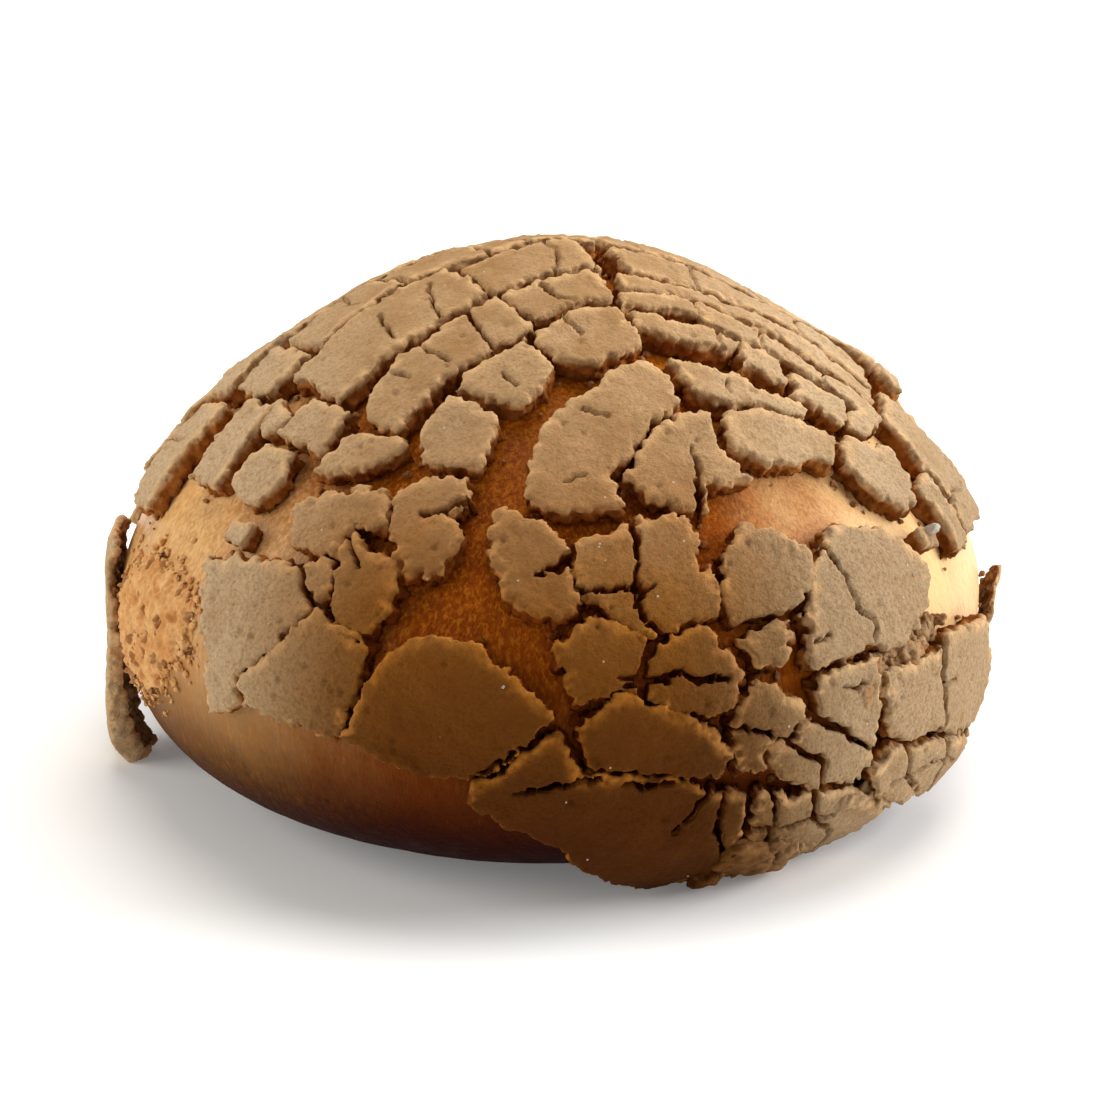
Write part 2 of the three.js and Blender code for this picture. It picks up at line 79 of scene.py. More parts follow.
# Cracks through the paste: lines of (x, y, width in millimetres) on the flat chart about the pivot.
CRACKS = {
    "crackle_hook": [[(-20.6, 11.6, 1.33), (-22.4, 10.8, 1.09), (-25.8, 10.2, 0.34)]],
    "crackle_upper": [[(-11.3, 15.0, 0.78), (-11.9, 11.0, 0.65), (-12.8, 7.4, 0.4)],
                      [(-17.9, 7.2, 0.47), (-14.6, 6.6, 0.4), (-10.5, 6.8, 0.3)],
                      [(-12.4, 6.6, 0.4), (-12.6, 3.6, 0.47), (-11.4, 2.0, 0.65)]],
    "crackle_centre": [[(-2.0, -0.6, 1.21), (3.4, 0.4, 1.02), (5.7, 0.7, 0.84), (8.6, 1.2, 0.71)]],
    "crackle_right": [[(15.2, 8.4, 0.59), (16.1, 6.7, 0.4), (18.0, 3.6, 0.4), (17.8, 1.1, 0.34),
                       (17.9, -0.8, 0.34), (19.5, -2.3, 0.4), (18.8, -4.7, 0.3)],
                      [(9.4, -3.0, 0.34), (12.0, -2.6, 0.3)]],
    "crackle_left": [[(-12.4, -1.0, 1.09), (-13.5, -3.2, 0.96), (-13.7, -6.4, 1.02)],
                     [(-16.6, -3.9, 0.3), (-13.6, -4.4, 0.53)],
                     [(-12.8, -4.4, 0.4), (-9.2, -3.7, 0.47), (-8.3, -4.3, 0.71), (-6.9, -5.1, 0.84),
                      (-3.1, -5.4, 0.34)]],
    "crackle_small": [[(-1.5, -11.8, 0.4), (0.6, -12.4, 0.71), (3.0, -13.8, 0.53)]],
    "crackle_lower": [[(7.8, -10.3, 1.21), (8.6, -12.4, 0.84), (12.5, -14.5, 0.84), (15.2, -17.4, 0.65),
                       (18.6, -18.6, 0.47)],
                      [(5.4, -15.2, 0.59), (6.6, -16.5, 0.9), (9.7, -17.8, 0.9), (10.1, -20.4, 0.53)],
                      [(12.5, -9.1, 0.2), (14.2, -9.7, 0.42), (16.0, -9.4, 0.24)]],
    "skirt_plate": [[(-22.6, -8.0, 0.65), (-25.6, -9.4, 0.84), (-29.6, -11.6, 0.47), (-34.0, -14.6, 0.3)]],
    "skirt_sheet": [[(-29.4, -17.4, 0.3), (-25.6, -16.4, 0.65), (-22.6, -16.1, 0.4)],
                    [(-4.2, -22.4, 0.4), (-4.4, -25.4, 0.84), (-3.3, -27.4, 0.65), (-1.3, -30.9, 0.47)],
                    [(-8.0, -22.2, 0.59), (-6.5, -20.3, 0.71)],
                    [(-16.4, -17.0, 0.3), (-13.2, -18.0, 0.59), (-10.4, -17.6, 0.34)]],
    "skirt_foot": [[(3.0, -22.0, 0.65), (4.2, -26.0, 0.53), (3.4, -31.0, 0.4)],
                   [(9.6, -23.0, 0.84), (10.4, -27.4, 0.71), (14.6, -30.4, 0.53), (15.2, -35.4, 0.4)],
                   [(4.2, -27.0, 0.4), (7.4, -27.6, 0.65), (10.4, -27.4, 0.47)]],
    "skirt_facets": [[(31.4, -8.0, 1.21), (31.0, -12.0, 0.71), (32.2, -16.0, 0.53), (32.0, -20.0, 0.78)],
                     [(32.0, -13.6, 0.34), (34.6, -13.6, 0.3)]],
    "skirt_rim": [[(24.6, -20.6, 0.59), (25.2, -24.4, 0.78), (28.6, -27.2, 0.65)],
                  [(33.0, -21.6, 0.53), (35.2, -25.6, 0.71), (34.6, -29.6, 0.47)],
                  [(25.2, -24.4, 0.4), (30.0, -24.0, 0.65), (35.2, -25.6, 0.4)]],
    "leaf": [[(-13.4, 35.6, 0.14), (-9.6, 33.4, 0.2)], [(-19.4, 23.0, 0.26), (-16.4, 23.6, 0.14)],
             [(-9.6, 25.2, 0.14), (-7.0, 24.0, 0.24)]],
    "tongue": [[(1.3, 25.6, 0.16), (0.8, 22.6, 0.5), (-0.2, 19.0, 0.8)]],
    "brow": [[(13.8, 34.6, 0.14), (15.4, 37.4, 0.3)]],
    "left_high": [[(-58.7, 15.6, 0.65), (-57.7, 10.6, 0.65), (-56.4, 8.8, 0.78), (-55.0, 7.2, 0.65)]],
    "left_inner": [[(-50.8, 16.0, 0.4), (-49.6, 13.2, 0.34)]],
    "left_hooked": [[(-35.0, 21.6, 0.59), (-38.4, 20.6, 0.4), (-40.6, 20.8, 0.3)]],
    "row1_b": [[(-24.4, 45.6, 0.3), (-22.8, 42.0, 0.34)]],
    "row2_b": [[(-37.6, 56.0, 0.4), (-35.8, 53.4, 0.34), (-32.9, 49.9, 0.3)],
               [(-26.4, 63.0, 0.53), (-26.2, 58.4, 0.47), (-24.9, 54.4, 0.4)],
               [(-43.6, 50.0, 0.3), (-40.4, 47.6, 0.34)]],
    "row2_c": [[(-8.8, 63.6, 0.59), (-8.4, 61.8, 0.34), (-6.4, 60.2, 0.3)]],
    "row3_c": [[(-43.4, 65.6, 0.47), (-43.2, 63.6, 0.34), (-41.7, 59.1, 0.3)],
               [(-31.7, 73.6, 0.47), (-32.5, 68.0, 0.34), (-31.8, 63.8, 0.3)]],
    "row3_d": [[(-1.6, 82.0, 0.4), (-0.2, 77.2, 0.4), (-4.5, 69.1, 0.34)],
               [(2.9, 66.9, 0.47), (6.6, 71.4, 0.4), (7.0, 82.0, 0.34)]],
    "row4_e": [[(-3.6, 96.0, 0.4), (-4.6, 90.4, 0.34), (-3.0, 84.0, 0.34)]],
}

OPEN_END = 0.34                  # width over which a crack's end is open
CARRY = 3.0                      # degrees by which an open end is carried on
CRACK_STEP = 0.9                 # degrees between the knots of a crack's line
CRACK_STRAY = 0.34               # degrees by which a knot is knocked aside, at most
WIDE = 1.9                       # a crack at least this many grid steps wide is cut open
OPEN_WIDTH = 1.7                 # and is then nowhere narrower than this many steps

# Small chips beside the larger pieces: outlines on the flat chart, and their thickness in millimetres.
CHIPS = {
    "chip_left": ([(-73.0, 19.4), (-71.4, 22.4), (-67.4, 21.8), (-68.0, 19.6), (-69.6, 17.6)], 2.6),
    "chip_high": ([(-69.0, 49.0), (-66.0, 50.4), (-63.4, 44.6), (-66.0, 41.4), (-69.6, 41.0)], 3.0),
    "chip_right": ([(37.2, 27.6), (42.2, 27.4), (42.2, 23.6), (38.0, 21.8), (35.2, 24.6)], 3.0),
    "chip_low": ([(35.3, 7.0), (39.8, 6.8), (38.0, 4.0), (34.5, 4.4)], 3.2),
    "chip_centre": ([(-55.6, 16.6), (-54.2, 14.0), (-53.6, 12.2), (-55.0, 12.6), (-56.4, 14.8)], 2.2),
}

# Crumbs heaped along the top of the slid facets: how many, how far they stray in degrees, and their least
# and greatest radius and height in millimetres; then the heap's middle line, as azimuth and elevation.
HEAP_SEED, HEAPED, HEAP_STRAY, HEAP_RADII, HEAP_HEIGHTS = 40, 64, 0.7, (0.7, 1.35), (0.2, 2.6)
LEDGE = ((42.6, -0.8), (43.6, 1.0), (45.0, 2.2), (48.0, 2.4), (51.0, 2.8), (54.0, 3.4), (60.0, 3.6))

# Rounded lumps of paste and scraps: azimuth, elevation, height over the crust, radius; degrees and mm.
RIM_LUMPS = (
    (75.0, -10.6, 4.0, 1.4), (68.1, -15.1, 4.6, 1.5), (62.5, -14.6, 4.6, 1.6), (60.3, -16.6, 4.6, 1.4),
    (55.8, -16.3, 4.8, 1.5), (52.0, -17.3, 4.4, 1.3), (48.1, -16.5, 4.6, 1.6), (44.0, -16.3, 4.4, 1.3),
    (41.4, -14.8, 4.4, 1.6), (65.4, -12.0, 4.8, 1.2), (57.6, -13.6, 4.8, 1.2), (70.0, -13.2, 3.6, 1.4),
)
FOOT_LUMPS = (
    (25.5, -19.9, 4.6, 2.0), (28.2, -22.5, 4.4, 2.2), (31.4, -24.0, 4.0, 2.4), (34.6, -24.4, 3.6, 2.2),
    (37.6, -24.6, 3.2, 1.9), (33.2, -21.6, 4.4, 1.7), (36.4, -22.4, 3.8, 1.6), (29.6, -19.6, 4.6, 1.5),
    (22.0, -24.6, 4.4, 1.8), (18.4, -25.2, 4.0, 1.6), (14.6, -25.0, 3.6, 1.5), (39.8, -23.4, 3.4, 1.4),
)
# Piece, its lumps, seed, how far they are sunk in mm, scale of their radii, raggedness, and the depth share
# that the material reads.
LUMP_SETS = (("rim_lumps", RIM_LUMPS, 49, 2.3, 1.0, 0.75, 0.12),
             ("foot_lumps", FOOT_LUMPS, 50, 1.7, 1.1, 0.5, 0.2))

# Where the skin is torn away beside the loose flake at the left: azimuth and elevation.
TORN_SKIN = ((-80, 3.5), (-77, 6.4), (-73.8, 8.7), (-69.3, 10.3), (-64.2, 10.4), (-59.5, 9.2), (-55.6, 7.4),
             (-53.4, 4.8), (-53.6, 2.2), (-56.0, 0.4), (-57.4, -2.2), (-60.6, -6.2), (-64.0, -8.6),
             (-70.0, -9.6), (-77.0, -11.4), (-82.0, -12.6), (-84.0, -6.0))
TORN_THICKNESS = 0.9             # millimetres
# Crumbs along its edge: how many, their radius in millimetres and how far they stray in radians.
TORN_CRUMBS, TORN_CRUMB_RADIUS, TORN_CRUMB_STRAY = 260, 0.34, 0.028

# The one larger crystal of sugar: its place on the flat chart, height over the crust and radius.
CRYSTAL, CRYSTAL_HEIGHT, CRYSTAL_RADIUS = (36.8, 6.1), 3.9, 0.62

# Stage, in metres: half the floor's side, the point looked at, and the one that the lamps face.
FLOOR_HALF, LOOKED_AT, LAMP_TARGET = 3.0, (-0.00027, 0.0, 0.0287), (0.0, 0.0, 0.03)
FLOOR_GLOW = 0.13                # strength of the floor's own light, which keeps it pale
SENSOR = 36.0                    # width of the camera's sensor in millimetres
SKY_TONE = (1.0, 0.985, 0.96, 1.0)
# Lamps: place and size in metres, share of the key light's power, and colour.
LAMPS = (("overhead", (0.10, 0.30, 0.85), 0.90, 1.0, (1.0, 0.98, 0.95)),
         ("right", (0.80, 0.05, 0.36), 0.60, 0.98, (0.98, 1.0, 1.03)),
         ("left", (-0.80, -0.12, 0.34), 0.70, 0.52, (1.0, 0.99, 0.95)))

LOWEST_CRUMB = 2.5               # height in millimetres under which no crumb is scattered
UNDERSIDE = -0.35                # height over the crust of the underside of a piece that lies on it
OUTSIDE = -9.0                   # stands for a height or distance where a grid has no piece


def unit(v):
    """Vectors divided by their lengths."""
    return v / np.linalg.norm(v, axis=-1, keepdims=True)


def dot(a, b):
    """Sum of products along the last axis."""
    return (a * b).sum(-1)


def compass(azimuth, elevation):
    """Direction from the heart: azimuth 0 is the front and grows towards +X."""
    az, el = np.radians(azimuth), np.radians(elevation)
    return np.stack(np.broadcast_arrays(np.cos(el) * np.sin(az), -np.cos(el) * np.cos(az), np.sin(el)), -1)


HEART_POINT = np.array([0.0, 0.0, HEART])
SWELL_TABLE = np.array(SWELLS, float)
SWELL_TOWARDS = compass(SWELL_TABLE[:, 0], SWELL_TABLE[:, 1])
pivot = compass(PIVOT_AZIMUTH, PIVOT_ELEVATION)
pivot_up = unit(np.array([0.0, 0.0, 1.0]) - pivot * pivot[2])
pivot_right = np.cross(pivot_up, pivot)


def polar(bearing, distance):
    """Direction at a bearing and distance, in degrees, from the pivot; bearing 0 goes up over the dome."""
    bearing, distance = np.radians(bearing)[..., None], np.radians(distance)[..., None]
    out = np.sin(bearing) * pivot_right + np.cos(bearing) * pivot_up
    return np.cos(distance) * pivot + np.sin(distance) * out


def on_chart(xy):
    """The same on flat axes: x to the right and y up, in degrees from the pivot."""
    xy = np.asarray(xy, float)
    return polar(np.degrees(np.arctan2(xy[..., 0], xy[..., 1])), np.hypot(xy[..., 0], xy[..., 1]))


def to_chart(d):
    """Flat chart axes of directions, the reverse of on_chart."""
    distance = np.degrees(np.arccos(np.clip(d @ pivot, -1, 1)))
    bearing = np.arctan2(d @ pivot_right, d @ pivot_up)
    return np.stack([distance * np.sin(bearing), distance * np.cos(bearing)], -1)


def reach(d, height=HEIGHT):
    """Distance from the heart to the crust: (across^p + up^p)^(-1/p), cut flat at the foot, plus swells."""
    across = np.hypot(d[..., 0], d[..., 1]) / RADIUS
    up = np.maximum(d[..., 2], 0) / (height - HEART)
    dome = (across**DOME_POWER + up**DOME_POWER) ** (-1 / DOME_POWER)
    deep = HEART / (1 - (FOOT / RADIUS) ** BELLY_POWER) ** (1 / BELLY_POWER)
    down = np.maximum(-d[..., 2], 0) / deep
    belly = (across**BELLY_POWER + down**BELLY_POWER) ** (-1 / BELLY_POWER)
    flat = HEART / np.maximum(-d[..., 2], 1e-6)
    distance = np.where(d[..., 2] >= 0, dome, np.minimum(belly, flat))
    fade = np.clip((d[..., 2] + 0.4) / 0.4, 0, 1)
    angle = np.degrees(np.arccos(np.clip(d @ SWELL_TOWARDS.T, -1, 1)))
    swell = (SWELL_TABLE[:, 3] * np.exp(-((angle / SWELL_TABLE[:, 2]) ** 2))).sum(-1)
    return distance + fade * swell


def crust_normal(d):
    """Outward normal of the crust: the cross product of two short steps across it."""
    step = 0.01
    side = unit(np.stack([-d[..., 1], d[..., 0], 0 * d[..., 0]], -1) + 1e-12)
    over = np.cross(d, side)

    def on(axis, sign):
        """Point of the crust one step this way along an axis."""
        e = unit(d + sign * step * axis)
        return e * reach(e)[..., None]

    return unit(np.cross(on(side, 1) - on(side, -1), on(over, 1) - on(over, -1)))


def face_reach(d):
    """Distance from the heart to the paste's outer face: a slightly higher dome, raised."""
    return reach(d, FACE_HEIGHT) + FACE_RISE


def crust_at(d):
    """Points where the paste's outer face, let down along the crust's normal, meets it; and normals."""
    face = face_reach(d)
    normal = crust_normal(d)
    thickness = (face - reach(d)) * dot(normal, d)
    return HEART_POINT + d * face[..., None] - normal * thickness[..., None], normal


def let_down(points):
    """Direction and height over the crust of points: the reverse of crust_at, by repeated sliding."""
    d = unit(points - HEART_POINT)
    for _ in range(8):
        base, normal = crust_at(d)
        gap = points - base
        slide = gap - normal * dot(gap, normal)[..., None]
        d = unit(d * face_reach(d)[..., None] + slide)
    base, normal = crust_at(d)
    return d, dot(points - base, normal)


# Noise over space, in millimetres.

def scramble(cells, seed):
    """Even random numbers in 0..1 for whole-number cells: a product and shift hash of 32 bits."""
    n = (cells[..., 0] * 73856093) ^ (cells[..., 1] * 19349663) ^ (cells[..., 2] * 83492791)
    n = (n + seed * 2654435761) & 0xFFFFFFFF
    n = ((n ^ (n >> 15)) * 2246822519) & 0xFFFFFFFF
    n = ((n ^ (n >> 13)) * 3266489917) & 0xFFFFFFFF
    return (n ^ (n >> 16)) / 4294967296.0


def noise(points, size, seed=0):
    """Smooth noise in -1..1: random numbers on a cubic lattice, blended by 6t^5 - 15t^4 + 10t^3."""
    p = points / size + 57.3
    cell = np.floor(p).astype(np.int64)
    t = p - cell
    t = t * t * t * (t * (6 * t - 15) + 10)
    total = np.zeros(points.shape[:-1])
    for corner in itertools.product((0, 1), repeat=3):
        weight = np.prod(np.where(np.array(corner) == 1, t, 1 - t), -1)
        total += weight * scramble(cell + np.array(corner), seed)
    return 2 * total - 1


def fractal(points, size, octaves, seed=0, fall=0.5):
    """Sum of noises, each half the size and fall times the height of the one before, in about -1..1."""
    total = np.zeros(points.shape[:-1])
    for k in range(octaves):
        total += fall**k * noise(points, size / 2**k, seed + 11 * k)
    return total / sum(fall**k for k in range(octaves))


def lumps(points, size, seed=0):
    """Rounded lumps: one centre in each cell of a cubic lattice; 1 at a centre, falling by distance.

    Returns the height and a random number of the nearest lump, both in 0..1."""
    p = points / size + 31.7
    cell = np.floor(p).astype(np.int64)
    nearest = np.full(points.shape[:-1], 9.0)
    chosen = np.zeros(points.shape[:-1])
    for corner in itertools.product((-1, 0, 1), repeat=3):
        there = cell + np.array(corner)
        centre = there + np.stack([scramble(there, seed + k) for k in range(3)], -1)
        gap = ((centre - p) ** 2).sum(-1)
        closer = gap < nearest
        nearest = np.where(closer, gap, nearest)
        chosen = np.where(closer, centre[..., 0] * 7.31 % 1.0, chosen)
    return np.clip(1 - np.sqrt(nearest), 0, 1), chosen


def smooth(low, high, x):
    """0 below low, 1 above high and 3t^2 - 2t^3 between."""
    t = np.clip((x - low) / (high - low), 0, 1)
    return t * t * (3 - 2 * t)


def ragged(points, seed=3):
    """Vectors in millimetres by which every torn edge wanders, the same on both sides of a crack."""
    return np.stack([
        0.42 * noise(points, 4.6, seed + k) + 0.34 * noise(points, 2.0, seed + 20 + k)
        + 0.26 * noise(points, 0.95, seed + 40 + k) for k in range(3)], -1)


def jagged(line, seed):
    """A crack's line cut into short steps, each knocked aside and made wider or narrower at random.

    An end that is still open is carried on for some way, so that it runs out through the piece's edge. The
    last column keeps the width as it was given."""
    line = np.array(line, float)
    for end, inner in ((0, 1), (-1, -2)):
        if line[end, 2] > OPEN_END:
            away = line[end, :2] - line[inner, :2]
            further = np.r_[line[end, :2] + CARRY * away / np.hypot(*away), line[end, 2]]
            line = np.concatenate([[further], line] if end == 0 else [line, [further]])
    run = np.r_[0, np.cumsum(np.hypot(*np.diff(line[:, :2], axis=0).T))]
    count = max(3, int(run[-1] / CRACK_STEP) + 1)
    at = np.linspace(0, run[-1], count)
    fine = np.stack([np.interp(at, run, line[:, k]) for k in (0, 1, 2, 2)], -1)
    rng = np.random.default_rng(seed)
    fine[1:-1, :2] += rng.uniform(-CRACK_STRAY, CRACK_STRAY, (count - 2, 2))
    fine[1:-1, 2] *= rng.uniform(0.65, 1.35, count - 2)
    return fine


# Meshes.

def place_piece(name, mesh, material, replaces):
    """Gives a mesh its material, puts it in the scene in place, and hangs it on the root body."""
    mesh.materials.append(material)
    piece = bpy.data.objects.new(name, mesh)
    bpy.context.scene.collection.objects.link(piece)
    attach(piece, "root")
    if replaces:
        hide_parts(*replaces)


def add_piece(name, points, faces, material, slot, replaces=(), **attributes):
    """Makes a piece from points in millimetres, clipped to the solids' box, and faces of one kind."""
    mesh = bpy.data.meshes.new(name)
    points = np.clip(points, np.array(CAD_BOX[0]) / MM, np.array(CAD_BOX[1]) / MM)
    faces = np.asarray(faces)
    sides = faces.shape[1]
    mesh.vertices.add(len(points))
    mesh.vertices.foreach_set("co", (points * MM).astype(np.float32).ravel())
    mesh.loops.add(faces.size)
    mesh.loops.foreach_set("vertex_index", faces.astype(np.int32).ravel())
    mesh.polygons.add(len(faces))
    mesh.polygons.foreach_set("loop_start", np.arange(0, faces.size, sides, dtype=np.int32))
    mesh.polygons.foreach_set("use_smooth", np.ones(len(faces), bool))
    mesh.update(calc_edges=True)
    for key, values in attributes.items():
        mesh.attributes.new(key, "FLOAT", "POINT").data.foreach_set(
            "value", np.broadcast_to(values, len(points)).astype(np.float32))
    place_piece(name, mesh, material, replaces)


def add_mixed(name, points, groups, material, replaces=()):
    """The same for groups of faces with different numbers of sides, without attributes or clipping."""
    mesh = bpy.data.meshes.new(name)
    mesh.from_pydata((points * MM).tolist(), [], [face for group in groups for face in group.tolist()])
    mesh.polygons.foreach_set("use_smooth", np.ones(len(mesh.polygons), bool))
    place_piece(name, mesh, material, replaces)


def point_normals(points, faces):
    """Unit normals at points: the sum of the cross products of the diagonals of the quads round each."""
    a, b, c, d = (points[faces[:, k]] for k in range(4))
    across = np.cross(c - a, d - b)
    total = np.stack([
        sum(np.bincount(faces[:, k], across[:, axis], len(points)) for k in range(4))
        for axis in range(3)], -1)
    return unit(total + 1e-12)


def grid_faces(rows, columns):
    """Four-sided faces of a grid of points in row order, its columns closed on themselves."""
    row = np.arange(rows - 1)[:, None] * columns
    column = np.arange(columns)[None, :]
    following = (column + 1) % columns
    corners = (row + column, row + following, row + columns + following, row + columns + column)
    return np.stack([np.broadcast_to(c, (rows - 1, column.size)) for c in corners], -1).reshape(-1, 4)


# Places for loose crumbs and sugar, gathered as the paste is laid: points, normals and ways outward.
PERCHES = {"face": [], "foot": []}


class Chart:
    """Flat axes in millimetres about a direction, for laying out one piece."""

    def __init__(self, centre):
        self.centre = centre
        self.right = unit(np.array([-centre[1], centre[0], 0.0]))
        self.up = np.cross(centre, self.right)

    def flatten(self, d):
        """Distance from the centre as an angle times the bun's radius, kept in its true bearing."""
        angle = np.arccos(np.clip(d @ self.centre, -1, 1))
        across = np.stack([d @ self.right, d @ self.up], -1)
        length = np.maximum(np.linalg.norm(across, axis=-1), 1e-9)
        return across * (angle * RADIUS / length)[..., None]

    def lift(self, uv):
        """Direction of a flat point, the reverse of flatten."""
        angle = np.linalg.norm(uv, axis=-1) / RADIUS
        turn = np.arctan2(uv[..., 1], uv[..., 0])
        out = np.cos(turn)[..., None] * self.right + np.sin(turn)[..., None] * self.up
        return np.cos(angle)[..., None] * self.centre + np.sin(angle)[..., None] * out


def segment_distance(points, start, end):
    """Least distance from each point to some segments, the nearest segment, and the share along it."""
    along = end - start
    gap = points[:, None] - start
    share = np.clip(dot(gap, along) / np.maximum(dot(along, along), 1e-9), 0, 1)
    away = np.linalg.norm(gap - share[..., None] * along, axis=-1)
    nearest = away.argmin(1)
    rows = np.arange(len(points))
    return away[rows, nearest], nearest, share[rows, nearest]


def encloses(points, start, end):
    """True where a ray to the right of the point crosses the segments an odd number of times."""
    y = points[:, None, 1]
    crossing = (start[:, 1] > y) != (end[:, 1] > y)
    rise = end[:, 1] - start[:, 1]
    rise = np.where(np.abs(rise) < 1e-12, 1e-12, rise)
    x = start[:, 0] + (y - start[:, 1]) * (end[:, 0] - start[:, 0]) / rise
    return (crossing & (points[:, None, 0] < x)).sum(1) % 2 == 1


class Solid:
    """What a piece of paste keeps of its solid: the outline of its foot, and heights over the crust."""

    def __init__(self, name):
        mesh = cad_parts[name].data
        points = np.empty(len(mesh.vertices) * 3, np.float32)
        mesh.vertices.foreach_get("co", points)
        mesh.calc_loop_triangles()
        faces = np.empty(len(mesh.loop_triangles) * 3, np.int32)
        mesh.loop_triangles.foreach_get("vertices", faces)
        points, inverse = np.unique(points.reshape(-1, 3), axis=0, return_inverse=True)
        points = points.astype(float) / MM
        faces = inverse.reshape(-1)[faces].reshape(-1, 3)
        d, height = let_down(points)
        corner = points[faces]
        facing = dot(unit(np.cross(corner[:, 1] - corner[:, 0], corner[:, 2] - corner[:, 0]) + 1e-12),
                     crust_normal(unit(d[faces].sum(1))))
        foot, top = faces[facing < -0.5], np.unique(faces[facing > 0.8])
        edges = np.concatenate([foot[:, [0, 1]], foot[:, [1, 2]], foot[:, [2, 0]]])
        count = len(points)
        turned = np.isin(edges[:, 1] * count + edges[:, 0], edges[:, 0] * count + edges[:, 1])
        edges = edges[~turned]
        self.start, self.end = d[edges[:, 0]], d[edges[:, 1]]
        self.top_d, self.top_height = d[top], height[top]
        under = np.unique(foot)
        self.foot_d, self.foot_height = d[under], height[under]


class Patch:
    """Outline given as a list of directions, with one thickness."""

    def __init__(self, corners, thickness):
        self.start, self.end = corners, np.roll(corners, -1, 0)
        self.top_d, self.top_height = corners, np.full(len(corners), float(thickness))
        self.foot_d, self.foot_height = corners, np.zeros(len(corners))


def blend(uv, at, values, spread=3.0):
    """Values carried from scattered points: the mean weighted by 1 / (distance^2 + spread^2)^2."""
    weight = 1 / (((uv[:, None] - at) ** 2).sum(-1) + spread**2) ** 2
    return (weight * values).sum(1) / weight.sum(1)


def kept_cells(inner):
    """Grid cells with a corner inside, with a third filled wherever two touch by a corner alone."""
    kept = inner[:-1, :-1] | inner[:-1, 1:] | inner[1:, :-1] | inner[1:, 1:]
    kept[0, :] = kept[-1, :] = False
    kept[:, 0] = kept[:, -1] = False
    for _ in range(4):
        a, b, c, d = kept[:-1, :-1], kept[:-1, 1:], kept[1:, :-1], kept[1:, 1:]
        rising, falling = b & c & ~a & ~d, a & d & ~b & ~c
        kept[:-1, :-1] |= rising
        kept[:-1, 1:] |= falling
    return kept


def crack_field(chart, moved, local, cracks, step):
    """What the cracks do to points of a piece's grid, each crack a jagged line with a width.

    Where its given width is over WIDE steps, a crack gives a distance from its sides, below 0 inside it.
    Elsewhere it draws the nearest points onto its middle and gives the share of the height lost there."""
    count = len(moved)
    side, lip, lost, draw = np.full(count, 9.0), np.full(count, 9.0), np.zeros(count), np.zeros((count, 2))
    for line in cracks:
        knots = chart.flatten(on_chart(line[:, :2]))
        away, nearest, share = segment_distance(moved, knots[:-1], knots[1:])
        on_line = knots[nearest] + share[:, None] * (knots[nearest + 1] - knots[nearest])
        width, given = (line[nearest, k] + share * (line[nearest + 1, k] - line[nearest, k])
                        for k in (2, 3))
        wide = given > WIDE * step
        width = np.where(wide, np.maximum(width, OPEN_WIDTH * step), width)
        gap = away * local - width / 2
        side = np.where(wide, np.minimum(side, gap - 0.12), side)
        lip = np.minimum(lip, gap)
        close = ~wide & (away < np.maximum(0.72 * step, width / 2 + 0.3 * step))
        drawn = close & (width < 1.3 * step)
        draw = np.where(drawn[:, None], 0.85 * (on_line - moved), draw)
        lost = np.maximum(lost, close * (0.2 + 0.74 * smooth(0.22, 0.6, width)))
    return side, lip, lost, draw


